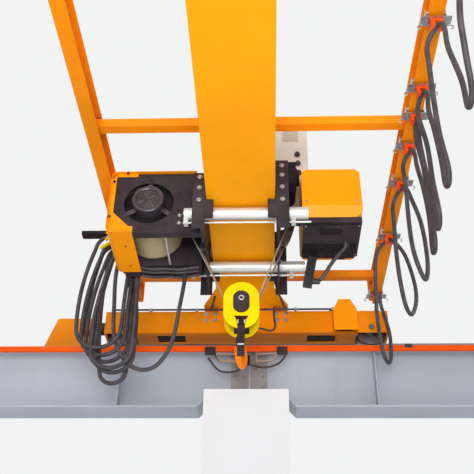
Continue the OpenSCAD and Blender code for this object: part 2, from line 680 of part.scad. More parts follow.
// Motor in the drum: fan cowl in the port, held by a spider behind the front plate
spider_y = hoist_front + plate_t;
spider_r = port_r + 16;
drum_front = spider_y + 50;
drum_bore = 160;
module hoist_motor() color("black") on_trolley() {
    rod_y(cowl_r, 85, [drum_x, hoist_front - 35, drum_z]);
    rod_y(cowl_r - 8, 150, [drum_x, hoist_front + 40, drum_z]);
    translate([drum_x, spider_y, drum_z]) rotate([-90, 0, 0]) linear_extrude(8) {
        difference() { circle(r = spider_r); circle(r = port_r + 4); }
        for (a = [30, 150, 270]) rotate(a) translate([0, -15]) square([port_r + 8, 30]);
    }
}

// Gearbox that turns the drum's back plate
gear_front = 110;
gear_bore_r = 30;
module hoist_gearbox() color("dimgray") on_trolley() difference() {
    translate([hoist_left + 20, gear_front, hoist_z + 5])
        cube([hoist_right - plate_t - hoist_left - 40, hoist_rear - plate_t - gear_front,
            hoist_h - plate_t - 20]);
    rod_y(gear_bore_r + run_gap, 60, [drum_x, gear_front - e, drum_z]);
}

// Drum with its rope wound side by side
drum_l = gear_front - 6 - drum_front;
turn_n = floor((drum_l - 40) / (2 * rope_d));
module drum() color("tan") on_trolley() translate([drum_x, drum_front, drum_z]) rotate([-90, 0, 0]) rotate_extrude()
    polygon(concat([[0, drum_l - 12], [0, drum_l + 50], [gear_bore_r, drum_l + 50], [gear_bore_r, drum_l],
        [drum_r + 5, drum_l], [drum_r + 5, drum_l - 8]],
        [for (i = [turn_n : -1 : 0], k = [1, 0]) [drum_r - (k == 1 ? 0 : 4), 20 + 2 * rope_d * (i + k / 2)]],
        [[drum_r + 5, 8], [drum_r + 5, 0], [drum_bore, 0], [drum_bore, drum_l - 12]]));

guide_x = -454;
module rope_guide() color("silver") on_trolley()
    rod_y(6, gear_front - hoist_front - plate_t, [guide_x, hoist_front + plate_t, hoist_z + 14]);

// Reeving: a rope from the drum round two block sheaves and a return sheave to its anchor
rope_lean = 25;
block_z = girder_z - 492;
sheave_pitch = 40;
rope_r = sheave_r - 7;
return_x = 285;
return_r = 90;
return_z = girder_z + 20;
return_tilt = 22;
module return_sheave() color("dimgray") on_trolley() {
    rod_x(14, return_x - cheek_out, [cheek_out, 0, return_z]);
    translate([return_x, 0, return_z]) rotate([0, 90 + return_tilt, 0]) rotate_extrude() polygon([[0,
        -24], [20, -24], [20, -12], [return_r + 9, -12], [return_r + 9, -9],
        [return_r - rope_d / 2 - seat_gap, -3], [return_r - rope_d / 2 - seat_gap, 3], [return_r + 9, 9],
        [return_r + 9, 12], [20, 12], [20, 24], [0, 24]]);
}

anchor_x = -253;
anchor_y = 60;
anchor_z = girder_z - 85;
module rope_anchor() color("silver") on_trolley() {
    translate([hoist_right - plate_t - 30, anchor_y - 14, hoist_z + 80]) cube([30, 28, 50]);
    translate([anchor_x, anchor_y, anchor_z]) rotate([0, -rope_lean, 0]) rod_z(9, 40, [0, 0, -25]);
}

anchor_lean = 22;
return_lean = 21;
function block_point(side, y, lean = rope_lean) =
    [side * rope_r * cos(lean), y, block_z - rope_r * sin(lean)];
drum_rope_r = drum_r + rope_d / 2 + seat_gap;
drum_rope_y = -70;
rope_ends = [
    [[drum_x + drum_rope_r * cos(rope_lean), drum_rope_y, drum_z + drum_rope_r * sin(rope_lean)],
        block_point(-1, -sheave_pitch / 2)],
    [[return_x, -return_r, return_z], block_point(1, -sheave_pitch / 2, return_lean)],
    [[return_x, return_r, return_z], block_point(1, sheave_pitch / 2, return_lean)],
    [[anchor_x + 12, anchor_y, anchor_z - 24], block_point(-1, sheave_pitch / 2, anchor_lean)]];
module hoist_ropes() color("silver") on_trolley() for (r = rope_ends)
    tube([r[0], (r[0] + r[1]) / 2, r[1]], rope_d);

// Electrical cabinet on the right: a moulded cover on a tray
cab_x = 364;
cab_w = 360;
cab_y = -255;
cab_l = 505;
cab_z = girder_z - 66;
cab_h = 375;
tray_h = 36;
tray_l = 376;
tray_bracket = 40;
cab_lean = 4;
cab_chamfer = [30, 66];
module cabinet_cover() color("orange") on_trolley() translate([cab_x, cab_y, cab_z + tray_h]) difference() {
    translate([0, cab_l, 0]) rotate([90, 0, 0]) linear_extrude(cab_l) rounded([cab_w, cab_h - tray_h], 45);
    translate([0, cab_l + e, 0]) rotate([90, 0, 0]) linear_extrude(cab_l + 2 * e)
        polygon([[cab_w, 50], [cab_w + 20, 50], [cab_w + 20, cab_h], [cab_w - cab_lean, cab_h]]);
    translate([-e, 0, 0]) rotate([90, 0, 90]) linear_extrude(cab_w + 2 * e)
        polygon([[-e, -e], [cab_chamfer[0], -e], [cab_chamfer[0], 0], [0, cab_chamfer[1]], [-e,
            cab_chamfer[1]]]);
}
module cabinet_tray() color("black") on_trolley() {
    translate([cab_x + 6, cab_y + cab_chamfer[0] + 4, cab_z]) cube([cab_w - 12, tray_l, tray_h]);
    translate([cheek_out, cab_y + cab_chamfer[0] + 4, cab_z]) cube([cab_x + 6 - cheek_out, tray_bracket,
        tray_h]);
}

// Pendant cable: arm, hank and the strand that comes down from the gland under the gearbox
arm_bar = [340, 60, 26];
hank = [390, 110, 1072];
hank_x = -855;
hank_y = hoist_rear + 4;
arm_low = hoist_top - 104;
hank_z = arm_low - hank[2];
module pendant_arm() color("dimgray") on_trolley()
    translate([hank_x - 225, hoist_rear, arm_low]) cube(arm_bar);

module pendant_hank() color("black") on_trolley()
    translate([hank_x, hank_y + hank[1], 0]) rotate([90, 0, 0]) linear_extrude(hank[1]) difference() {
        translate([-hank[0] / 2, hank_z]) rounded([hank[0], hank[2]], hank[0] / 2 - 1);
        translate([-hank[0] / 2 + 110, hank_z + 110]) rounded([hank[0] - 220, hank[2] - 220],
            hank[0] / 2 - 111);
    }

gland_at = [-368, 200, hoist_z + 5];
module pendant_gland() color("black") on_trolley() {
    rod_z(20, 26, [gland_at[0], gland_at[1], gland_at[2] - 26]);
}
pendant_route = [[-368, 200, 4284], [-368, 200, 4262], [-376, 202, 4180], [-394, 208, 4050],
    [-416, 225, 3874], [-471, 258, 3734], [-547, 288, 3660], [-622, 302, 3648], [-680, 304, 3666]];
module pendant_cable() color("black") on_trolley() tube(pendant_route, cable_d);

// Hooded plug under the tray, and its lead back up to the gland at the tray's right
plug = [56, 40, 225];
plug_top = [440, 140, cab_z - 6];
plug_tilt = 11;
lead_route = [[635, -3, 4394], [635, -3, 4376], [630, 4, 4362], [610, 28, 4350], [584, 55, 4338],
    [558, 80, 4320], [532, 105, 4298], [508, 122, 4256],
    [483, 134, 4217], [458, 140, 4201.2], [433.4, 140, 4206]];
module plug_lead() color("black") on_trolley() tube(lead_route, 24);
module hooded_plug() color("black") on_trolley() translate(plug_top) rotate([0, plug_tilt, 0])
    translate([-plug[0] / 2, -plug[1] / 2, -plug[2]]) cube(plug);

// Hook block

block_cover_w = 208;
block_cover_h = 304;
block_drop = 43;
cover_plate_t = 6;
block_pin_r = 22;
crosshead_z = block_z - 168;
crosshead_h = 34;
module obround(w, h) {
    translate([-w / 2, -(h - w) / 2]) square([w, h - w]);
    for (side = [-1, 1]) translate([0, side * (h - w) / 2]) circle(r = w / 2);
}
module block_covers() color("gold") on_trolley() translate([0, 0, block_z]) {
    for (side = [-1, 1]) translate([0, side * (block_t - cover_plate_t) / 2, -block_drop]) rotate([90, 0, 0])
        linear_extrude(cover_plate_t, center = true) obround(block_cover_w, block_cover_h);
    rod_y(block_pin_r, block_t - 2 * e, [0, -block_t / 2 + e, 0]);
}

// Dark plates bolted on the covers over the sheaves' pin
boss = [95, 143];
boss_t = 8;
module block_bosses() color("dimgray") on_trolley() for (side = [-1, 1])
    translate([0, side * (block_t + boss_t) / 2, block_z - 23]) rotate([90, 0, 0])
        linear_extrude(boss_t, center = true) obround(boss[0], boss[1]);

module block_sheaves() color("dimgray") on_trolley() for (side = [-1, 1])
    translate([0, side * sheave_pitch / 2, block_z]) rotate([90, 0, 0]) rotate_extrude()
        polygon([[block_pin_r + run_gap, -18], [34, -18], [34, -17], [sheave_r, -17], [sheave_r, -14],
            [rope_r - rope_d / 2 - seat_gap, -7], [rope_r - rope_d / 2 - seat_gap, 7], [sheave_r, 14],
            [sheave_r, 17], [34, 17], [34, 18], [block_pin_r + run_gap, 18]]);

shank_r = 18;
nut_r = 28;
nut_h = 16;
module block_crosshead() color("dimgray") on_trolley() difference() {
    block([90, block_t - 2 * cover_plate_t, crosshead_h], [0, 0, crosshead_z]);
    rod_z(shank_r + run_gap, crosshead_h + 2 * e, [0, 0, crosshead_z - e]);
}

bowl_z = crosshead_z - 165;
hook_turn = -15;
bowl_r = hook_r + hook_t / 2;
latch_pin = [-shank_r - 14, bowl_z + 92];
latch_pin_r = 4;
hook_tip = 105;
module hook() color("darkorange") on_trolley() rotate([0, 0, hook_turn]) {
    rod_z(shank_r, crosshead_z + crosshead_h + nut_h - bowl_z - bowl_r, [0, 0, bowl_z + bowl_r]);
    rod_z(nut_r, nut_h, [0, 0, crosshead_z + crosshead_h + seat_gap]);
    translate([0, 0, bowl_z]) rotate([0, 90, 0]) rotate([0, 0,
        -hook_tip]) rotate_extrude(angle = 180 + hook_tip)
        translate([bowl_r, 0]) circle(r = hook_t / 2);
    difference() {
        block([12, 36, 24], [0, latch_pin[0] + 8, latch_pin[1] - 12]);
        rod_x(latch_pin_r + run_gap, 14, [-7, latch_pin[0], latch_pin[1]]);
    }
}

// Spring latch that closes the hook's throat
latch_w = 40;
latch_t = 4;
latch_l = 74;
module latch() color("black") on_trolley() rotate([0, 0, hook_turn]) {
    rod_x(latch_pin_r, latch_w, [-latch_w / 2, latch_pin[0], latch_pin[1]]);
    for (side = [-1, 1]) translate([side * (latch_w / 2 - 3) - 2, latch_pin[0] - 7,
        latch_pin[1] - 14]) cube([4, 14, 22]);
    translate([-latch_w / 2, latch_pin[0] - 8, latch_pin[1] - latch_l]) cube([latch_w, latch_t,
        latch_l - 14]);
}

columns();
base_plates();
runway_beam_far();
runway_beam_near();
crane_rails();
end_stops();
stop_buffers();
conductor_bar();
conductor_hangers();
line_feeds();
girder();
girder_seats();
end_truck_far();
end_truck_near();
wheel_far_left();
wheel_far_right();
wheel_near_left();
wheel_near_right();
travel_motors();
drive_covers();
left_rail();
festoon_rail();
side_arms();
festoon_carriers();
cable_clamps();
festoon_cable();
festoon_plug();
control_panel();
cross_tubes();
clamp_rods();
left_cheek();
right_cheek();
trolley_wheels();
travel_motor();
hoist_frame();
hoist_cover();
hoist_motor();
hoist_gearbox();
rope_guide();
drum();
return_sheave();
rope_anchor();
hoist_ropes();
cabinet_cover();
cabinet_tray();
pendant_arm();
pendant_gland();
pendant_hank();
pendant_cable();
plug_lead();
hooded_plug();
block_covers();
block_bosses();
block_sheaves();
block_crosshead();
hook();
latch();
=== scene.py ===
"""Overhead bridge crane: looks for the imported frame. Metres, in the frame's own axes."""
import math

import bmesh
import bpy
from mathutils import Matrix, Vector


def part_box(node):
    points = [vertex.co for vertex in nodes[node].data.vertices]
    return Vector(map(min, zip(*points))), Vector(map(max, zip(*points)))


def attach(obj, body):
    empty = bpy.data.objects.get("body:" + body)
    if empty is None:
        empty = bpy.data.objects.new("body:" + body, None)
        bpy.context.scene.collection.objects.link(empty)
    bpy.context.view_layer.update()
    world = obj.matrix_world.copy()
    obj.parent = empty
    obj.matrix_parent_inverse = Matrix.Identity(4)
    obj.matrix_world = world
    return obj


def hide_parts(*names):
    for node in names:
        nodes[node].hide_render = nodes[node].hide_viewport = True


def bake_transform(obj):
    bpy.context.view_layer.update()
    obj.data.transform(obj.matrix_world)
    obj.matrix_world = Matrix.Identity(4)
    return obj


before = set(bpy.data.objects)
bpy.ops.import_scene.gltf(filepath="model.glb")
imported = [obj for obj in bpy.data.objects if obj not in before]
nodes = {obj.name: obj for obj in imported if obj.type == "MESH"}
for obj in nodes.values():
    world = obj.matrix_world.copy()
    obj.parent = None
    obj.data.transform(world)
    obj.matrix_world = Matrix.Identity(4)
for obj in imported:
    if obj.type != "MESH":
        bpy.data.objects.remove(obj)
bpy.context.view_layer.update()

girder_lo, girder_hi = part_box("girder")
block_lo, block_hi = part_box("block_covers")
BX = (girder_lo.x + girder_hi.x) / 2
TY = (block_lo.y + block_hi.y) / 2
RUNWAY_Y, COLUMN_X = 5000, 3000


def W(x, y, z):
    """A point of the runway's frame, given in millimetres."""
    return Vector((x, y, z)) / 1000


def B(x, y, z):
    """A point of the bridge, in millimetres from the girder's middle."""
    return Vector((BX + x / 1000, y / 1000, z / 1000))


def T(x, y, z):
    """A point of the trolley, in millimetres from the hook's axis."""
    return Vector((BX + x / 1000, TY + y / 1000, z / 1000))


# Camera, fitted to the photograph
def set_camera(lens, yaw, pitch, roll, at):
    yaw, pitch, roll = (math.radians(a) for a in (yaw, pitch, roll))
    fwd = Vector((math.sin(yaw) * math.cos(pitch), math.cos(yaw) * math.cos(pitch), math.sin(pitch)))
    right = Vector((math.cos(yaw), -math.sin(yaw), 0))
    up = right.cross(fwd)
    r2 = math.cos(roll) * right + math.sin(roll) * up
    u2 = -math.sin(roll) * right + math.cos(roll) * up
    data = bpy.data.cameras.new("camera")
    data.lens = lens
    data.sensor_width = 36
    data.clip_end = 200
    cam = bpy.data.objects.new("camera", data)
    cam.matrix_world = Matrix(((r2.x, u2.x, -fwd.x, at[0]), (r2.y, u2.y, -fwd.y, at[1]),
                               (r2.z, u2.z, -fwd.z, at[2]), (0, 0, 0, 1)))
    bpy.context.scene.collection.objects.link(cam)
    bpy.context.scene.camera = cam


set_camera(61.177, -2.423, 34.347, 0.905, (-2.869, -0.137, 1.618))


# Materials
def lin(c):
    """A colour given in 0 to 255, as linear values."""
    return tuple(((v / 255 + 0.055) / 1.055) ** 2.4 if v > 10 else v / 255 / 12.92 for v in c) + (1.0,)


def shade(c, factor, lift=0.0):
    """The colour made lighter or darker, up to white."""
    return tuple(min(1, v * factor + lift) for v in c[:3]) + (1,)


def node(tree, kind, **sockets):
    """A new node with its sockets or settings filled in."""
    n = tree.nodes.new(kind)
    for k, v in sockets.items():
        if k in n.inputs:
            n.inputs[k].default_value = v
        else:
            setattr(n, k, v)
    return n


def material(name):
    m = bpy.data.materials.new(name)
    m.use_nodes = True
    t = m.node_tree
    t.nodes.clear()
    out = node(t, "ShaderNodeOutputMaterial")
    shader = node(t, "ShaderNodeBsdfPrincipled")
    t.links.new(shader.outputs[0], out.inputs[0])
    coord = node(t, "ShaderNodeTexCoord")
    return m, t, shader, coord


def mix(t, factor, a, b, blend="MIX"):
    """A colour mix; each of the three may be a value or a socket."""
    n = t.nodes.new("ShaderNodeMix")
    n.data_type = "RGBA"
    n.blend_type = blend
    for socket, v in ((n.inputs[0], factor), (n.inputs[6], a), (n.inputs[7], b)):
        if hasattr(v, "links"):
            t.links.new(v, socket)
        else:
            socket.default_value = v
    return n.outputs[2]


def noise(t, coord, scale, detail=4.0, stretch=(1, 1, 1), rough=0.55):
    m = node(t, "ShaderNodeMapping")
    m.inputs["Scale"].default_value = stretch
    t.links.new(coord.outputs["Object"], m.inputs["Vector"])
    n = node(t, "ShaderNodeTexNoise", Scale=scale, Detail=detail, Roughness=rough)
    t.links.new(m.outputs[0], n.inputs["Vector"])
    return n.outputs["Fac"]


def ranged(t, value, lo, hi, a=0.0, b=1.0):
    n = node(t, "ShaderNodeMapRange")
    for i, v in ((1, lo), (2, hi), (3, a), (4, b)):
        n.inputs[i].default_value = v
    t.links.new(value, n.inputs[0])
    return n.outputs[0]


def bumped(t, shader, height, strength, distance):
    bump = node(t, "ShaderNodeBump", Strength=strength, Distance=distance)
    t.links.new(height, bump.inputs["Height"])
    t.links.new(bump.outputs[0], shader.inputs["Normal"])


def painted(name, rgb, rough=0.42, vary=0.05, patch=1.6, streak=0.05, grime=(60, 50, 40), dirt=0.08,
            peel=0.0006, gloss=0.14):
    """Paint: patchy tone, vertical streaks, dirt in the hollows of a noise, and a fine surface."""
    m, t, s, c = material(name)
    base = lin(rgb)
    tone = mix(t, ranged(t, noise(t, c, patch, 6), 0.34, 0.66), shade(base, 1 - 3.2 * vary),
               shade(base, 1 + 1.6 * vary))
    if streak:
        tone = mix(t, ranged(t, noise(t, c, 9, 3, (1, 1, 0.06)), 0.55, 0.8, 0, streak), tone, lin(grime))
    if dirt:
        spots = ranged(t, noise(t, c, 23, 8, rough=0.7), 0.56, 0.78, 0, dirt)
        tone = mix(t, spots, tone, lin(grime))
    t.links.new(tone, s.inputs["Base Color"])
    s.inputs["Specular IOR Level"].default_value = gloss
    t.links.new(ranged(t, noise(t, c, 37, 5), 0.3, 0.7, rough - 0.07, rough + 0.09), s.inputs["Roughness"])
    bumped(t, s, noise(t, c, 160, 4), 0.35, peel)
    return m


def brushed(name, rgb, rough, stretch, scale=90, metal=1.0, vary=0.06):
    """Bright metal with fine lines drawn out along one axis."""
    m, t, s, c = material(name)
    base = lin(rgb)
    lines = noise(t, c, scale, 3, stretch)
    tone = mix(t, ranged(t, lines, 0.3, 0.7), shade(base, 1 - 3 * vary), base)
    tone = mix(t, ranged(t, noise(t, c, 6, 6), 0.5, 0.75, 0, 0.35), tone, shade(base, 0.62))
    t.links.new(tone, s.inputs["Base Color"])
    s.inputs["Metallic"].default_value = metal
    t.links.new(ranged(t, lines, 0.25, 0.75, rough - 0.08, rough + 0.1), s.inputs["Roughness"])
    bumped(t, s, lines, 0.2, 0.0004)
    return m


def sheath(name, rgb, rough, grain):
    """Cable sheath or moulded rubber: a slight grain and dust on top."""
    m, t, s, c = material(name)
    base = lin(rgb)
    tone = mix(t, ranged(t, noise(t, c, 14, 5), 0.35, 0.7), base, shade(base, 1.9, 0.012))
    t.links.new(tone, s.inputs["Base Color"])
    t.links.new(ranged(t, noise(t, c, 40, 4), 0.3, 0.7, rough - 0.08, rough + 0.12), s.inputs["Roughness"])
    bumped(t, s, noise(t, c, grain, 3), 0.4, 0.0005)
    return m


ORANGE = painted("orange_paint", (252, 162, 2), 0.4, vary=0.035, patch=0.9, streak=0.05, dirt=0.05)
TRUCK = painted("orange_truck", (243, 141, 0), 0.42, vary=0.05, patch=1.8, streak=0.08, dirt=0.12)
ARM = painted("orange_arms", (247, 144, 4), 0.4, vary=0.04, streak=0.05, dirt=0.06)
COVER = painted("orange_cover", (255, 154, 0), 0.4, vary=0.02, patch=2.5, streak=0.02, dirt=0.03)
YELLOW = painted("block_yellow", (255, 218, 0), 0.4, vary=0.03, patch=5, streak=0.04, dirt=0.10)
DARK = painted("dark_plate", (58, 50, 54), 0.5, vary=0.12, patch=6, streak=0.06, dirt=0.10,
               grime=(120, 105, 90))
BLACK = painted("black_plate", (30, 27, 30), 0.45, vary=0.12, patch=8, dirt=0.12, streak=0.05,
                grime=(110, 100, 90))
PLASTIC = sheath("black_plastic", (34, 31, 34), 0.42, 400)
CABLE = sheath("cable_sheath", (52, 47, 51), 0.55, 420)
WHITE = painted("column_white", (240, 242, 245), 0.6, vary=0.015, patch=0.8, streak=0.04, dirt=0.03,
                grime=(150, 145, 138),
                peel=0.0004)
BEAM = painted("beam_primer", (192, 199, 211), 0.55, vary=0.045, patch=0.7, streak=0.10, dirt=0.08,
               grime=(128, 124, 118))
SPLICE = painted("splice_grey", (168, 165, 166), 0.5, vary=0.07, patch=4, streak=0.2, dirt=0.15,
                 grime=(110, 104, 100))
BASE = painted("base_steel", (120, 120, 122), 0.6, vary=0.10, patch=3, dirt=0.25, grime=(96, 70, 48))
RAIL = brushed("rail_steel", (150, 146, 142), 0.38, (0.02, 1, 1), 120)
BAR = painted("conductor_orange", (255, 92, 4), 0.4, vary=0.03, patch=2, streak=0.0, dirt=0.06)
CLAMP = painted("clamp_orange", (255, 84, 22), 0.45, vary=0.04, patch=6, dirt=0.05)
ZINC = brushed("galvanised", (196, 198, 198), 0.42, (1, 1, 1), 40, vary=0.09)
TUBE = brushed("bright_tube", (218, 221, 219), 0.42, (0.02, 1, 1), 140, metal=0.5, vary=0.03)
STEEL = brushed("wheel_steel", (128, 124, 122), 0.42, (1, 1, 1), 60, vary=0.08)
ROPE = brushed("rope_wire", (196, 180, 156), 0.46, (1, 1, 1), 300, metal=0.75, vary=0.10)
DRUM = brushed("drum_rope", (184, 168, 132), 0.55, (1, 1, 1), 200, metal=0.35, vary=0.10)
COWL = painted("fan_cowl", (60, 55, 61), 0.26, vary=0.06, patch=8, dirt=0.05, streak=0.02, gloss=0.6)
CREAM = painted("panel_cream", (216, 208, 194), 0.5, vary=0.02, patch=2, streak=0.04, dirt=0.04)
HOOK = painted("hook_orange", (255, 132, 6), 0.42, vary=0.05, patch=9, dirt=0.14)
RUBBER = sheath("rubber", (26, 25, 26), 0.7, 200)
BRASS = brushed("copper_bar", (206, 178, 158), 0.45, (0.1, 1, 1), 60, metal=0.5)

CAD_LOOKS = {
    "columns": WHITE, "base_plates": BASE, "runway_beam_far": BEAM, "runway_beam_near": BEAM, "crane_rails": RAIL,
    "end_stops": TRUCK, "stop_buffers": RUBBER, "conductor_bar": BAR, "conductor_hangers": PLASTIC,
    "line_feeds": PLASTIC, "girder": ORANGE, "girder_seats": TRUCK, "end_truck_far": TRUCK,
    "end_truck_near": TRUCK, "travel_motors": DARK, "drive_covers": COVER, "left_rail": ARM, "festoon_rail": ARM,
    "side_arms": ARM, "festoon_carriers": ZINC, "cable_clamps": CLAMP, "festoon_cable": CABLE,
    "festoon_plug": PLASTIC, "control_panel": CREAM, "cross_tubes": TUBE, "clamp_rods": TUBE, "left_cheek": DARK,
    "right_cheek": DARK, "trolley_wheels": STEEL, "travel_motor": BLACK, "hoist_frame": DARK, "hoist_cover": COVER,
    "hoist_motor": COWL, "hoist_gearbox": DARK, "rope_guide": TUBE, "drum": DRUM, "return_sheave": STEEL,
    "rope_anchor": ZINC, "hoist_ropes": ROPE, "cabinet_cover": COVER, "cabinet_tray": DARK, "pendant_arm": BLACK,
    "pendant_gland": PLASTIC, "pendant_hank": CABLE, "pendant_cable": CABLE, "plug_lead": CABLE,
    "hooded_plug": PLASTIC, "block_covers": YELLOW, "block_bosses": DARK, "block_sheaves": STEEL,
    "block_crosshead": BLACK, "hook": HOOK, "latch": DARK}
for name, o in nodes.items():
    o.data.materials.clear()
    o.data.materials.append(CAD_LOOKS.get(name, STEEL))

# The line feeds' boxes are black, their bars bare copper
feeds_node = nodes["line_feeds"]
feeds_node.data.materials.append(BRASS)
for face in feeds_node.data.polygons:
    middle = feeds_node.matrix_world @ face.center
    face.material_index = int(abs(middle.x + 3.0) < 0.205)

# Rounded edges: (width in mm, nodes)
for width, names in ((9, ("hook",)), (8, ("hooded_plug",)), (3, ("block_covers", "block_bosses",
        "cabinet_cover")),
                     (1.6, ("girder", "girder_seats", "end_truck_far", "end_truck_near", "end_stops",
                            "drive_covers",
                            "left_rail", "festoon_rail", "side_arms", "left_cheek", "right_cheek", "hoist_frame",
                            "hoist_cover", "hoist_gearbox", "cabinet_tray", "pendant_arm", "latch", "columns",
                            "base_plates", "runway_beam_far", "runway_beam_near", "crane_rails", "control_panel",
                            "cable_clamps", "festoon_carriers", "conductor_bar"))):
    for name in names:
        edge = nodes[name].modifiers.new("edge", "BEVEL")
        edge.width = width / 1000
        edge.segments = 4 if width > 5 else 2
        edge.limit_method = "ANGLE"
        edge.angle_limit = math.radians(48)


# Mesh making
def finish_mesh(name, bm, mat, body, angle=32):
    """The piece from a finished bmesh: shaded smooth below the angle, riding on its body."""
    bmesh.ops.recalc_face_normals(bm, faces=bm.faces)
    mesh = bpy.data.meshes.new(name)
    bm.to_mesh(mesh)
    bm.free()
    mesh.materials.append(mat)
    mesh.polygons.foreach_set("use_smooth", [True] * len(mesh.polygons))
    mesh.set_sharp_from_angle(angle=math.radians(angle))
    o = bpy.data.objects.new(name, mesh)
    bpy.context.scene.collection.objects.link(o)
    if body:
        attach(o, body)
    return o


def add_ring(bm, verts_a, verts_b):
    n = len(verts_a)
    for i in range(n):
        bm.faces.new((verts_a[i], verts_a[(i + 1) % n], verts_b[(i + 1) % n], verts_b[i]))


def frame_of(axis):
    """Two directions across the axis, and the axis itself."""
    z = Vector(axis).normalized()
    x = z.cross(Vector((0, 0, 1)) if abs(z.z) < 0.9 else Vector((1, 0, 0))).normalized()
    return x, z.cross(x), z


def lathe(bm, at, axis, profile, seg=32, turn=0.0):
    """A closed turned form: profile is [(radius, height)], both in metres, with radius 0 at its ends."""
    x, y, z = frame_of(axis)
    rings = []
    for r, h in profile:
        if r < 1e-7:
            rings.append([bm.verts.new(at + z * h)])
        else:
            rings.append([bm.verts.new(at + z * h + (x * math.cos(a) + y * math.sin(a)) * r)
                          for a in (turn + 2 * math.pi * k / seg for k in range(seg))])
    for a, b in zip(rings, rings[1:]):
        if len(a) == 1 and len(b) == 1:
            continue
        if len(a) == 1:
            for i in range(seg):
                bm.faces.new((a[0], b[i], b[(i + 1) % seg]))
        elif len(b) == 1:
            for i in range(seg):
                bm.faces.new((a[i], a[(i + 1) % seg], b[0]))
        else:
            add_ring(bm, a, b)


def rod(bm, a, b, r, seg=24, chamfer=0.001):
    d = (b - a).length
    c = min(chamfer, r / 3, d / 3)
    lathe(bm, a, b - a, [(0, 0), (r - c, 0), (r, c), (r, d - c), (r - c, d), (0, d)], seg)


def bolt(bm, at, normal, r, turn=0.3):
    """A hexagon head with its washer, standing on a surface."""
    n = Vector(normal).normalized()
    h = r * 0.7
    lathe(bm, at - n * 0.0005, n, [(0, 0), (r * 1.45, 0), (r * 1.5, 0.0008), (r * 1.4, 0.003), (0, 0.003)], 20)
    lathe(bm, at + n * 0.0024, n, [(0, 0), (r, 0), (r, h * 0.82), (r * 0.86, h), (0, h)], 6, turn)


def slab(bm, lo, hi, bevel):
    """A box between two corners with rounded edges."""
    made = bmesh.ops.create_cube(bm, size=1.0)["verts"]
    size, mid = hi - lo, (hi + lo) / 2
    for v in made:
        v.co = Vector((v.co.x * size.x, v.co.y * size.y, v.co.z * size.z)) + mid
    edges = list({e for v in made for e in v.link_edges})
    bmesh.ops.bevel(bm, geom=edges, offset=min(bevel, min(size) * 0.4), segments=2, affect="EDGES", profile=0.7)


def prism(bm, outline, origin, u, v, depth, bevel=0.001):
    """A flat outline in the plane of u and v, pushed along their normal by depth."""
    u, v = Vector(u), Vector(v)
    n = u.cross(v).normalized() * depth
    a = [bm.verts.new(origin + u * p[0] + v * p[1]) for p in outline]
    b = [bm.verts.new(p.co + n) for p in a]
    faces = [bm.faces.new(a[::-1]), bm.faces.new(b)]
    add_ring(bm, a, b)
    edges = [e for f in faces for e in f.edges]
    bmesh.ops.bevel(bm, geom=edges, offset=bevel, segments=2, affect="EDGES", profile=0.7)


def smooth(points, step=0.02):
    """A smooth line through points, with a point about every step."""
    p = [Vector(q) for q in points]
    p = [p[0] * 2 - p[1]] + p + [p[-1] * 2 - p[-2]]
    out = []
    for i in range(1, len(p) - 2):
        a, b, c, d = p[i - 1:i + 3]
        ta = 0.0
        tb = ta + max(1e-6, (b - a).length ** 0.5)
        tc = tb + max(1e-6, (c - b).length ** 0.5)
        td = tc + max(1e-6, (d - c).length ** 0.5)
        n = max(2, int((c - b).length / step))
        for k in range(n):
            t = tb + (tc - tb) * k / n
            a1 = a * ((tb - t) / (tb - ta)) + b * ((t - ta) / (tb - ta))
            a2 = b * ((tc - t) / (tc - tb)) + c * ((t - tb) / (tc - tb))
            a3 = c * ((td - t) / (td - tc)) + d * ((t - tc) / (td - tc))
            b1 = a1 * ((tc - t) / (tc - ta)) + a2 * ((t - ta) / (tc - ta))
            b2 = a2 * ((td - t) / (td - tb)) + a3 * ((t - tb) / (td - tb))
            out.append(b1 * ((tc - t) / (tc - tb)) + b2 * ((t - tb) / (tc - tb)))
    out.append(p[-2])
    return out


def relaxed(points, times):
    """The line with its sharp turns eased, its ends kept."""
    for _ in range(times):
        eased = [(a + b * 2 + c) / 4 for a, b, c in zip(points, points[1:], points[2:])]
        points = [points[0], *eased, points[-1]]
    return points


def cable(name, points, d, mat, body):
    """A curve of one open spline with a round section."""
    data = bpy.data.curves.new(name, "CURVE")
    data.dimensions = "3D"
    data.bevel_depth = d / 2
    data.bevel_resolution = 3
    data.use_fill_caps = True
    s = data.splines.new("POLY")
    s.points.add(len(points) - 1)
    for q, p in zip(s.points, points):
        q.co = (*p, 1)
    s.use_smooth = True
    data.materials.append(mat)
    o = bpy.data.objects.new(name, data)
    bpy.context.scene.collection.objects.link(o)
    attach(o, body)
    return o


def sweep(bm, points, r, sides=10, squash=1.0):
    """A tube along points, for pieces that aren't free cords."""
    rings = []
    x = None
    for i, p in enumerate(points):
        d = (points[min(i + 1, len(points) - 1)] - points[max(i - 1, 0)]).normalized()
        if x is None:
            x = d.cross(Vector((0, 0, 1)) if abs(d.z) < 0.9 else Vector((1, 0, 0))).normalized()
        x = (x - d * x.dot(d)).normalized()
        y = d.cross(x)
        rings.append([bm.verts.new(p + (x * math.cos(a) + y * math.sin(a) * squash) * r)
                      for a in (2 * math.pi * k / sides for k in range(sides))])
    for a, b in zip(rings, rings[1:]):
        add_ring(bm, a, b)
    bm.faces.new(rings[0][::-1])
    bm.faces.new(rings[-1])


# Cords: the festoon cable, the pendant cable with its hank, and the plug's lead
SIDE_END = 5290
CARRIERS = [SIDE_END - d for d in (60, 870, 1455, 1805, 2061, 2280, 2738, 3335)]
FESTOON_X, CABLE_Z, SADDLE = 985, 4696, 60
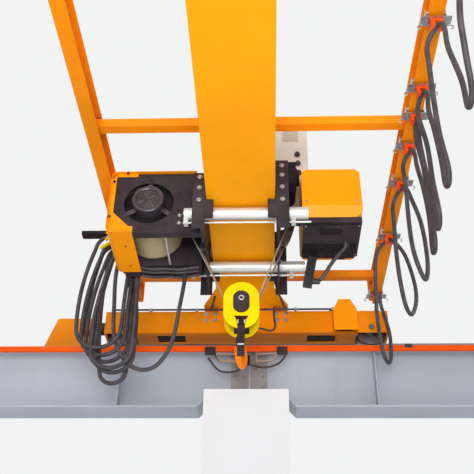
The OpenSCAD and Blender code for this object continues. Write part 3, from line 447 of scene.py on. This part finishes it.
# Each hanging loop, from the shoulder of its farther clamp to that of its nearer one:
# (x from the clamps' middle, y, z)
LOOPS = [[(67, 4339, 4550), (106, 4319, 4325), (106, 4294, 4204), (76, 4218, 4073), (23, 4128, 3956),
          (-19, 4038, 3965), (-48, 3961, 4066), (-58, 3936, 4264), (-55, 3912, 4487)],
         [(29, 3771, 4598), (73, 3768, 4398), (82, 3763, 4178), (64, 3720, 4020), (28, 3660, 3911),
          (-5, 3600, 3940), (-37, 3557, 4037), (-42, 3552, 4245), (-33, 3548, 4532)],
         [(13, 3426, 4564), (34, 3427, 4384), (43, 3428, 4176), (32, 3421, 3959), (27, 3402, 3914),
          (27, 3357, 3895), (27, 3312, 3914), (23, 3293, 3959), (16, 3286, 4146), (18, 3287, 4394)],
         [(-10, 3175, 4537), (0, 3180, 4301), (14, 3187, 4118), (12, 3184, 3946), (7, 3165, 3901),
          (7, 3120, 3882), (7, 3075, 3901), (3, 3056, 3946), (-6, 3052, 4112), (-4, 3059, 4371)],
         [(-5, 2927, 4507), (2, 2904, 4344), (5, 2877, 4105), (-5, 2845, 3948), (-8, 2826, 3903),
          (-8, 2781, 3884), (-8, 2736, 3903), (-14, 2717, 3948), (-37, 2685, 4079), (-46, 2658, 4289),
          (-46, 2630, 4547)],
         [(0, 2452, 4442), (4, 2413, 4293), (5, 2365, 4126), (-10, 2318, 3944), (-15, 2299, 3899),
          (-15, 2254, 3880), (-15, 2209, 3899), (-18, 2190, 3944), (-37, 2142, 4003), (-48, 2094, 4080),
          (-63, 2047, 4133)]]
SHOULDERS = {1: (25, -70), 2: (25, -50), 3: (18, -40), 4: (4, 0), 5: (14, -25), 6: (15, -50), 7: (0, 0)}


def saddle(k, side):
    """The cable's way over one shoulder of a clamp, from the top outwards; it lies askew on the clamp."""
    dx = SHOULDERS[k][side > 0]
    return [B(FESTOON_X + dx * 0.45, CARRIERS[k] + side * SADDLE * 0.7, CABLE_Z - SADDLE * 0.3),
            B(FESTOON_X + dx, CARRIERS[k] + side * SADDLE, CABLE_Z - SADDLE)]


route = [B(x, SIDE_END + y, z) for x, y, z in (
    (640, -340, 4436), (722, -338, 4438), (830, -245, 4466), (918, -120, 4524), (966, -28, 4584),
    (985, 14, 4632), (985, 2, 4674), (985, -42, CABLE_Z), (985, -95, 4690), (985, -150, 4668), (985, -240,
            4640),
    (967, -340, 4499), (980, -422, 4328), (989, -475, 4168), (984, -488, 4100), (978, -500, 4014), (962, -522,
            3948),
    (938, -566, 3920), (914, -610, 3948), (899, -631, 4014), (891, -645, 4110), (884, -670, 4270), (888, -770,
            4562), (895, -796, 4628), (922, -826, 4683), (954, -848, 4696))]
for k, loop in enumerate(LOOPS, 1):
    route += [B(FESTOON_X, CARRIERS[k], CABLE_Z)] + saddle(k, -1) + [B(FESTOON_X + x, y, z) for x, y, z in loop]
    route += saddle(k + 1, 1)[::-1]
route += [B(FESTOON_X, CARRIERS[-1], CABLE_Z)] + [B(FESTOON_X, SIDE_END + y, z) for y, z in (
    (-3375, 4682), (-3402, 4642), (-3419, 4590), (-3425, 4560), (-3425, 4536))]
festoon_line = relaxed(smooth(route), 6)
festoon = cable("festoon_line", festoon_line, 0.026, CABLE, "bridge")
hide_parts("festoon_cable")

HANK_Y = 304
# Each turn of the hank: its left and right sides, lowest and highest points, depth, and the radius of its top
TURNS = [(-1032, -752, 3816, 4640, -42, 100), (-1002, -730, 3780, 4612, -14, 90),
         (-974, -710, 3748, 4584, 14, 84),
         (-950, -692, 3720, 4556, 42, 82), (-924, -674, 3682, 4520, -42, 82), (-902, -666, 3664, 4572, -14, 84),
         (-868, -706, 3606, 4596, 14, 82), (-985, -750, 3790, 4610, 40, 90)]


def hank_point(a, left, right, low, high, depth, r1):
    """A point of a hanging turn: a is 0 at the lowest point, rising on the right, and 0.5 at the top."""
    r2 = (right - left) / 2
    top = right - r1 - 18
    zt, zb = high - r1, low + r2
    lean = math.asin((r2 - r1) / (zt - zb))
    side = math.sqrt((zt - zb) ** 2 - (r2 - r1) ** 2)
    arc2, arc1 = r2 * (math.pi / 2 + lean), r1 * (math.pi / 2 - lean)
    half = arc2 + side + arc1
    s = (a % 1.0) * 2 * half
    flip = 1
    if s > half:
        s, flip = 2 * half - s, -1
    if s < arc2:
        t = s / r2
        x, z = r2 * math.sin(t), zb - r2 * math.cos(t)
    elif s < arc2 + side:
        t = (s - arc2) / side
        x = (r2 + (r1 - r2) * t) * math.cos(lean)
        z = zb + r2 * math.sin(lean) + t * (zt + r1 * math.sin(lean) - zb - r2 * math.sin(lean))
    else:
        t = (s - arc2 - side) / r1 + lean
        x, z = r1 * math.cos(t), zt + r1 * math.sin(t)
    down = min(1.0, max(0.0, (high - z) / (high - low - r2)))
    u = min(1.0, max(0.0, (z - zb) / (zt - zb)))
    bulge = 4 * u * (1 - u) * (-26 if flip < 0 else 8)
    return T(x * flip + bulge + top + ((left + right) / 2 - top) * down, HANK_Y + depth, z)


strand = [T(*p) for p in ((-368, 200, 4284), (-368, 200, 4262), (-376, 202, 4180), (-392, 208, 4060),
                          (-414, 225, 3900),
                          (-458, 252, 3772), (-530, 282, 3698), (-602, 292, 3682), (-672, 292, 3706), (-738,
                                  290, 3776),
                          (-793, 285, 3900), (-814, 272, 4130), (-820, 262, 4380))]
# The cable goes round the hank in steps, from a start near the top, and slips from one turn into the next
STEPS, START, ROUNDS = 48, 0.44, 7.42
coil = []
for k in range(int(STEPS * ROUNDS)):
    turn = k / STEPS
    i = min(int(turn), 6)
    f = min(1.0, max(0.0, (turn - i - 0.74) / 0.26))
    f = f * f * (3 - 2 * f)
    coil.append(hank_point(START + turn, *(a + (b - a) * f for a, b in zip(TURNS[i], TURNS[i + 1]))))
hank_line = smooth(strand + coil[:1], 0.02)[:-1] + smooth(coil, 0.03)
pendant = cable("pendant_line", hank_line, 0.026, CABLE, "trolley")
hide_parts("pendant_cable", "pendant_hank")

end, before = hank_line[-1], hank_line[-3]
down = (end - before).normalized()
bm = bmesh.new()
lathe(bm, end - down * 0.03, down, [(0, 0), (0.0145, 0), (0.017, 0.004), (0.02, 0.03), (0.024, 0.034),
                                    (0.024, 0.06),
                                   (0.0225, 0.063), (0.0225, 0.07), (0.025, 0.073), (0.025, 0.118), (0.022,
                                           0.122), (0, 0.122)], 28)
pendant_end = finish_mesh("pendant_connector", bm, PLASTIC, "trolley")

lead_line = smooth([T(*p) for p in (
    (635, -3, 4394), (635, -3, 4376), (627, 5, 4358), (606, 28, 4344), (580, 55, 4326), (556, 80, 4305),
    (530, 106, 4276), (506, 124, 4242), (482, 135, 4214), (458, 140, 4203), (433.4, 140, 4206))], 0.012)
lead = cable("lead_line", lead_line, 0.024, CABLE, "trolley")
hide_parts("plug_lead")


# Hoist ropes: six strands laid round a core, stretched between the trolley and the block
ROPE_D, ROPE_LAY, ROPE_STEP = 0.010, 0.066, 0.006


def rope(name, a, b):
    bm = bmesh.new()
    n = max(8, int((b - a).length / ROPE_STEP))
    x, y, z = frame_of(b - a)
    rings = []
    for i in range(n + 1):
        p = a + (b - a) * (i / n)
        twist = 2 * math.pi * (b - a).length * i / n / ROPE_LAY
        ring = []
        for k in range(36):
            t = 2 * math.pi * k / 36
            r = ROPE_D / 2 * (0.86 + 0.14 * abs(math.cos(3 * t)))
            ring.append(bm.verts.new(p + (x * math.cos(t + twist) + y * math.sin(t + twist)) * r))
        rings.append(ring)
    for p, q in zip(rings, rings[1:]):
        add_ring(bm, p, q)
    bm.faces.new(rings[0][::-1])
    bm.faces.new(rings[-1])
    return finish_mesh(name, bm, ROPE, None, 60)


# How far each rope leans from upright, in the order drum, anchor, return sheave
LEAN, ANCHOR_LEAN, RETURN_LEAN = (math.radians(a) for a in (25, 22, 21))
ROPE_R, BLOCK_Z = 81, 3968


def block_point(side, y, lean=LEAN):
    return T(side * ROPE_R * math.cos(lean), y, BLOCK_Z - ROPE_R * math.sin(lean))


DRUM_AT = (-560, 4527)
ROPE_OUT = 177.3
ends = [(T(DRUM_AT[0] + ROPE_OUT * math.cos(LEAN), -70, DRUM_AT[1] + ROPE_OUT * math.sin(LEAN)),
         block_point(-1, -20)),
        (T(285, -90, 4480), block_point(1, -20, RETURN_LEAN)), (T(285, 90, 4480),
                block_point(1, 20, RETURN_LEAN)),
        (T(-241, 60, 4351), block_point(-1, 20, ANCHOR_LEAN))]
ropes = []
for i, (a, b) in enumerate(ends):
    r = rope("rope_%d" % i, a, b)
    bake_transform(r)
    ropes.append(r)
for r in ropes:
    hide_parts("hoist_ropes")

# Small parts
def bolts(name, body, spots, r=0.009, mat=ZINC):
    """Hexagon bolts: each spot is a place and the way its head points."""
    bm = bmesh.new()
    for i, (at, n) in enumerate(spots):
        bolt(bm, at, n, r, turn=0.3 + 0.7 * i)
    return finish_mesh(name, bm, mat, body)


def torus(bm, at, axis, big, small, seg=48, sides=8):
    x, y, z = frame_of(axis)
    rings = []
    for k in range(seg):
        a = 2 * math.pi * k / seg
        out = x * math.cos(a) + y * math.sin(a)
        rings.append([bm.verts.new(at + out * (big + small * math.cos(b)) + z * small * math.sin(b))
                      for b in (2 * math.pi * j / sides for j in range(sides))])
    for k in range(seg):
        add_ring(bm, rings[k], rings[(k + 1) % seg])


def wiring(name, body, lines, d, mat=CABLE, sides=10):
    """Short fixed cables or hoses, each through its own points."""
    bm = bmesh.new()
    for points in lines:
        sweep(bm, smooth(points, 0.012), d / 2, sides)
    return finish_mesh(name, bm, mat, body, 60)


def slabs(name, body, boxes, mat, bevel=0.002):
    """Small plates and blocks, each between two corners."""
    bm = bmesh.new()
    for a, b in boxes:
        lo = Vector((min(a.x, b.x), min(a.y, b.y), min(a.z, b.z)))
        hi = Vector((max(a.x, b.x), max(a.y, b.y), max(a.z, b.z)))
        slab(bm, lo, hi, bevel)
    return finish_mesh(name, bm, mat, body)


FRONT, BACK, LEFT, RIGHT, DOWN, UP = (0, -1, 0), (0, 1, 0), (-1, 0, 0), (1, 0, 0), (0, 0, -1), (0, 0, 1)

# The hoist: fan guard, drum windings, plate bolts, hoses
PLATE_Y, COVER_Y = -250, -277
bolts("hoist_bolts", "trolley", [(T(x, PLATE_Y, z), FRONT) for x, z in (
    (-581, 4736), (-560, 4704), (-749, 4609), (-751, 4470), (-545, 4341), (-375, 4601), (-377, 4473), (-454,
            4375))], 0.009,
    DARK)
bolts("hoist_studs", "trolley", [(T(-369, PLATE_Y, z), FRONT) for z in (4433, 4377)], 0.008)
bolts("cover_screws", "trolley", [(T(x, COVER_Y, z), FRONT) for x, z in ((-784, 4412), (-779, 4674),
        (-700, 4738))]
      + [(T(-700, -120, 4305), DOWN), (T(-700, 100, 4305), DOWN), (T(-797, 60, 4680), LEFT),
         (T(-797, 60, 4420), LEFT)],
      0.006, BLACK)
FAN = T(DRUM_AT[0], -284, DRUM_AT[1])
bm = bmesh.new()
lathe(bm, FAN, FRONT, [(0, -0.004), (0.0945, -0.004), (0.0965, 0.001), (0.096, 0.009), (0.092, 0.013),
                       (0.078, 0.013),
                       (0.070, 0.008), (0.069, 0.003), (0, 0.003)], 72)
finish_mesh("fan_cowl_rim", bm, COWL, "trolley", 50)
bm = bmesh.new()
guard = FAN + Vector((0, -0.008, 0))
for k in range(9):
    torus(bm, guard, FRONT, 0.010 + 0.0068 * k, 0.0014, 48, 6)
for k in range(4):
    a = math.pi * (k + 0.35) / 2
    out = Vector((math.cos(a), 0, math.sin(a)))
    rod(bm, guard + out * 0.006, guard + out * 0.072, 0.0022, 8)
finish_mesh("fan_grille", bm, STEEL, "trolley", 50)
bm = bmesh.new()
lathe(bm, T(DRUM_AT[0], -195, DRUM_AT[1]), FRONT, [(0, 0), (0.166, 0), (0.168, 0.002), (0.166, 0.004),
                                                   (0, 0.004)], 64)
finish_mesh("drum_end_shield", bm, BLACK, "trolley")

WOUND, PITCH = (-168, 86), 10.6
turns = (WOUND[1] - WOUND[0]) / PITCH
bm = bmesh.new()
sweep(bm, [T(DRUM_AT[0] + 177 * math.cos(a), WOUND[0] + PITCH * a / 2 / math.pi, DRUM_AT[1] + 177 * math.sin(a))
           for a in (2 * math.pi * k / 44 for k in range(int(44 * turns)))], 0.005, 8)
finish_mesh("drum_windings", bm, DRUM, "drum", 70)
bm = bmesh.new()
for y in (-184, 97):
    torus(bm, T(DRUM_AT[0], y, DRUM_AT[1]), FRONT, 0.176, 0.006, 64, 8)
finish_mesh("drum_flanges", bm, DARK, "drum")
slabs("hoist_fold", "trolley", [(T(-324, PLATE_Y - 4, 4325), T(-262, PLATE_Y, 4701)),
                                (T(-640, PLATE_Y - 3, 4307), T(-262, PLATE_Y, 4324))], DARK)
bolts("fold_bolts", "trolley", [(T(-293, PLATE_Y - 4, z), FRONT) for z in (4345, 4478, 4512, 4590, 4668)],
      0.007,
      BLACK)
wiring("hoist_hoses", "trolley", [
    [T(-640, y, 4306), T(-575, y + 4, 4296), T(-490, y - 6, 4291), T(-400, y + 5, 4293), T(-330, y, 4298),
     T(-276, y, 4308)]
    for y in (128, 166, 222)], 0.020)

# Cheeks, tubes and the travel motor
TUBE_Y, ROD_Z, TUBE_Z, CHEEK_Y = 295, 4346, 4408, 381
spots = [(T(side * 244, -CHEEK_Y, z), FRONT) for side, zs in ((1, (4700, 4630, 4540, 4450)),
        (-1, (4620, 4540, 4450))) for z in zs]
spots += [(T(side * 244, CHEEK_Y, z), BACK) for side in (1, -1) for z in (4620, 4540, 4450)]
bolts("cheek_bolts", "trolley", spots, 0.010)
bm = bmesh.new()
for y in (-TUBE_Y, TUBE_Y):
    for side in (-1, 1):
        n = (side, 0, 0)
        for x in (236, 262):
            lathe(bm, T(side * x, y, ROD_Z), n, [(0, 0), (0.0115, 0), (0.0115, 0.009), (0.0098, 0.0105),
                                                 (0, 0.0105)], 6, 0.4)
        lathe(bm, T(side * 248, y, ROD_Z), n, [(0, 0), (0.016, 0), (0.016, 0.004), (0, 0.004)], 20)
        lathe(bm, T(side * 231, y, TUBE_Z), n, [(0, 0), (0.047, 0), (0.048, 0.001), (0.047, 0.012),
                                                (0.043, 0.014), (0, 0.014)], 40)
finish_mesh("tube_collars", bm, ZINC, "trolley")
bm = bmesh.new()
for y in (-TUBE_Y, TUBE_Y):
    for side in (-1, 1):
        lathe(bm, T(side * 230, y, 4534), (side, 0, 0), [(0, -0.002), (0.034, -0.002), (0.034, 0.008),
                (0.030, 0.012), (0.016, 0.013),
                                                       (0.013, 0.018), (0, 0.018)], 32)
finish_mesh("axle_caps", bm, STEEL, "trolley")
bm = bmesh.new()
for k in range(10):
    torus(bm, T(286, -330 + 13 * k, 4695), FRONT, 0.051, 0.003, 36, 6)
slab(bm, T(320, -300, 4668), T(352, -214, 4728), 0.004)
finish_mesh("travel_motor_fins", bm, BLACK, "trolley")

# The cabinet, its tray and the plug
slabs("tray_parts", "trolley", [
    (T(378, 12, 4381), T(700, 156, 4395)), (T(470, -150, 4384), T(606, -104, 4395)), (T(384, -206, 4388),
            T(704, -196, 4395)),
    (T(520, 20, 4374), T(532, 150, 4383)), (T(424, 90, 4372), T(470, 156, 4384)), (T(560, 60, 4372),
            T(640, 156, 4384)),
    (T(722, -112, 4704), T(733, -82, 4736))], BLACK, 0.004)
bm = bmesh.new()
lathe(bm, T(635, -3, 4396), DOWN, [(0, 0), (0.024, 0), (0.024, 0.010), (0.021, 0.012), (0.019, 0.026),
                                   (0.014, 0.032), (0, 0.032)], 24)
lathe(bm, T(426, 140, 4207.5), (0.982, 0, -0.191), [(0, 0), (0.021, 0), (0.021, 0.014), (0.018, 0.018),
                                                    (0.0165, 0.04),
                                                  (0.0135, 0.052), (0, 0.052)], 24)
finish_mesh("lead_glands", bm, PLASTIC, "trolley")
bolts("cabinet_screws", "trolley", [(T(x, -255, z), FRONT) for x, z in ((392, 4528), (696, 4528))]
      + [(T(x, y, 4394), DOWN) for x in (384, 702) for y in (-180, 130)], 0.005, ZINC)

# The hook block: pin ends, rope cheek plates, the latch's bracket and pins
bm = bmesh.new()
for side in (-1, 1):
    torus(bm, T(0, side * 74, BLOCK_Z), (0, side, 0), 0.0135, 0.0036, 40, 8)
finish_mesh("pin_ends", bm, TUBE, "hook_block")
bm = bmesh.new()
for side in (-1, 1):
    prism(bm, [(-0.041, 0), (0.041, 0), (0.026, -0.022), (0.022, -0.060), (-0.022, -0.060), (-0.026, -0.022)],
          T(0, 71 if side > 0 else -67, 3850), (1, 0, 0), (0, 0, 1), 0.004)
finish_mesh("crosshead_plates", bm, BLACK, "hook_block")
bm = bmesh.new()
strap = smooth([Vector((y, z, 0)) for y, z in ((-66, 3838), (-67, 3800), (-70, 3760), (-80, 3712), (-87, 3665),
                                               (-87, 3625), (-80, 3592))], 8)
outline = [(q.x / 1000, q.y / 1000) for q in strap] + [((q.x + 5) / 1000, q.y / 1000) for q in reversed(strap)]
prism(bm, outline, Vector((BX - 0.021, TY, 0)), (0, 1, 0), (0, 0, 1), 0.043)
finish_mesh("latch_bracket", bm, DARK, "hook")
bm = bmesh.new()
rod(bm, T(-18, -89, 3660), T(19, -89, 3660), 0.0045, 12)
for x in (-18.5, 19.5):
    rod(bm, T(x, -69, 3826), T(x, -69, 3800), 0.004, 12)
finish_mesh("latch_pins", bm, TUBE, "hook")

# The hank's yellow ties
bm = bmesh.new()
for way in (((-940, 240, 4530), (-905, 234, 4548), (-866, 240, 4580)), ((-912, 238, 4590), (-888, 233, 4612),
        (-858, 240, 4640))):
    sweep(bm, smooth([T(*q) for q in way], 0.01), 0.015, 12, squash=0.45)
finish_mesh("hank_clip", bm, YELLOW, "trolley")

# End trucks: cable along the top edge, flange bolts, cables down from the girder
for name, sy in (("far", 1), ("near", -1)):
    face, n = sy * 4900, (0, -sy, 0)
    bolts("truck_bolts_" + name, "bridge", [(B(x, face, z), n) for x in (-285, -219, 219, 285) for z in (4350,
            4400)], 0.011)
    wiring("truck_cable_" + name, "bridge", [[B(x, sy * 4886, 4428) for x in (-960, -700, -400, -100, 200, 500,
            630)]], 0.014)
    slabs("truck_cable_clips_" + name, "bridge", [(B(x - 9, sy * 4877, 4416),
                                                   B(x + 9, sy * 4901, 4437)) for x in (-677, -352, 353, 614)],
          ZINC)
wiring("girder_cables", "bridge", [
    [B(204, 4545, 4450), B(216, 4620, 4449), B(246, 4760, 4447), B(277, 4885, 4442), B(290, 4889, 4430)],
    [B(-213, 4740, 4450), B(-226, 4810, 4448), B(-244, 4885, 4442), B(-248, 4890, 4430)],
    [B(52, 4889, 4289), B(126, 4886, 4270), B(176, 4886, 4258), B(204, 4886, 4284), B(198, 4887, 4375),
     B(200, 4889, 4446)]], 0.014)

# Festoon: clamp screws and hooked fingers
bm = bmesh.new()
for y in CARRIERS:
    for dy in (-20, 20):
        bolt(bm, B(FESTOON_X, y + dy, 4678), DOWN, 0.006)
    for side in (-1, 1):
        sweep(bm, smooth([B(FESTOON_X + side * q[0], y + 24, q[1]) for q in ((64, 4727), (82, 4724), (88, 4710),
                (80, 4700), (72, 4703))],
                         0.006), 0.0035, 8)
        bolt(bm, B(FESTOON_X + side * 44, y, 4726), DOWN, 0.006)
finish_mesh("carrier_hooks", bm, ZINC, "bridge")

# Control panel: louvre hoods, glands, door seam
PANEL_Y = 3900
slabs("panel_hoods", "bridge", [(B(258, PANEL_Y - 6, 5143 + 17 * k), B(366, PANEL_Y + 0.5,
        5148 + 17 * k)) for k in range(6)]
      + [(B(172, PANEL_Y - 3, 4812), B(414, PANEL_Y + 0.5, 4816)), (B(172, PANEL_Y - 3, 5236),
              B(414, PANEL_Y + 0.5, 5239))],
      CREAM, 0.001)
bm = bmesh.new()
for x, z in ((353, 5022), (356, 4946), (359, 4869)):
    lathe(bm, B(x, PANEL_Y + 1, z), FRONT, [(0, 0), (0.019, 0), (0.019, 0.008), (0.016, 0.010), (0.0145, 0.022),
                                            (0.010, 0.026), (0, 0.026)], 20)
finish_mesh("panel_glands", bm, PLASTIC, "bridge")

# Runway: feed cables, bundle, splice plates and bolts, rail clips, anchor bolts
feeds = []
for side, way in ((-1, ((-263, 4030), (-189, 3941), (-122, 3926), (-46, 3946))),
                  (1, ((263, 4049), (218, 3993), (133, 3961), (53, 3971)))):
    feeds.append([W(x - COLUMN_X, 4850, z) for x, z in way]
                 + [W(side * 12 - COLUMN_X, 4852, 3990), W(side * 8 - COLUMN_X, 4854, 4040)])
wiring("feed_cables", "runway", feeds, 0.014)
bm = bmesh.new()
for k in range(5):
    lathe(bm, W(-COLUMN_X, 4853, 3985 + 14 * k), UP, [(0, 0), (0.021, 0), (0.022, 0.002), (0.021, 0.004),
                                                      (0, 0.004)], 20)
finish_mesh("feed_wraps", bm, BLACK, "runway")
# Thin black sheets inside the end trucks, just above their hand holes: painted shade, so the holes look dark
# inside
slabs("truck_hole_shade", "bridge", [(B(x - 104, sy * 4942, 4259), B(x + 104, sy * 5058, 4262)) for sy in (-1,
        1) for x in (-530, 530)],
      BLACK, 0.001)
plates = [(W(x0, sy * 4980, 3712), W(x1, sy * 4985, 4132)) for sy in (1, -1) for x0,
          x1 in ((-3111, -2988), (-2980, -2861))]
slabs("splice_plates", "runway", plates, SPLICE, 0.001)
bolts("splice_bolts", "runway", [(W(x, sy * 4980, z), (0, -sy, 0)) for sy in (1, -1) for x in (-3085, -3015,
        -2954, -2888)
                                 for z in (3800, 3880, 3960, 4040)], 0.011, SPLICE)
spots = [(W(sx * COLUMN_X + dx, sy * RUNWAY_Y + dy, 30), UP)
         for sy in (-1, 1) for sx in (-1, 1) for dx in (-310, 310) for dy in (-310, 310)]
bolts("anchor_nuts", "runway", spots, 0.022, BASE)
bm = bmesh.new()
for at, n in spots:
    rod(bm, at, at + Vector((0, 0, 0.052)), 0.012, 16, 0.002)
finish_mesh("anchor_studs", bm, ZINC, "runway")
clips = [(-3900 + 600 * k, sy * RUNWAY_Y + dy * 44) for sy in (-1, 1) for k in range(14) for dy in (-1, 1)]
slabs("rail_clips", "runway", [(W(x - 30, y - 20, 4149), W(x + 30, y + 20, 4163)) for x, y in clips],
      RAIL, 0.003)
bolts("rail_clip_bolts", "runway", [(W(x, y, 4163), UP) for x, y in clips], 0.011)

# Floor, light and world
bm = bmesh.new()
bmesh.ops.create_grid(bm, x_segments=4, y_segments=4, size=60)
floor = finish_mesh("floor", bm, painted("floor_pale", (214, 214, 212), 0.75, vary=0.01, streak=0, dirt=0),
                    None)
floor.location.z = -0.002


def area(name, at, look, size, power, color=(1, 1, 1), spread=180):
    """A round lamp at a place, turned to look at another; spread in degrees."""
    data = bpy.data.lights.new(name, "AREA")
    data.shape = "DISK"
    data.size = size
    data.energy = power
    data.color = color
    data.spread = math.radians(spread)
    o = bpy.data.objects.new(name, data)
    o.location = at
    o.rotation_euler = (Vector(look) - Vector(at)).to_track_quat("-Z", "Y").to_euler()
    bpy.context.scene.collection.objects.link(o)


area("key", (-7.5, -7.0, 9.5), (-3.0, 4.0, 4.2), 7.0, 140, (1, 0.99, 0.97))
area("under", (-2.8, 2.4, 0.2), (-2.8, 2.6, 4.2), 5.0, 62)
area("front", (-2.9, -1.5, 3.0), (-2.9, 4.9, 6.0), 3.0, 42, spread=60)

world = bpy.data.worlds.new("world")
bpy.context.scene.world = world
world.use_nodes = True
t = world.node_tree
t.nodes.clear()
out = node(t, "ShaderNodeOutputWorld")
light = node(t, "ShaderNodeBackground", Strength=0.70)
light.inputs[0].default_value = (0.93, 0.96, 1.0, 1)
seen = node(t, "ShaderNodeBackground", Strength=0.93)
seen.inputs[0].default_value = (0.96, 0.965, 0.97, 1)
path = node(t, "ShaderNodeLightPath")
either = node(t, "ShaderNodeMath", operation="MAXIMUM")
t.links.new(path.outputs["Is Camera Ray"], either.inputs[0])
t.links.new(path.outputs["Is Glossy Ray"], either.inputs[1])
blend = node(t, "ShaderNodeMixShader")
t.links.new(either.outputs[0], blend.inputs[0])
t.links.new(light.outputs[0], blend.inputs[1])
t.links.new(seen.outputs[0], blend.inputs[2])
t.links.new(blend.outputs[0], out.inputs[0])
bpy.context.scene.view_settings.view_transform = "Standard"
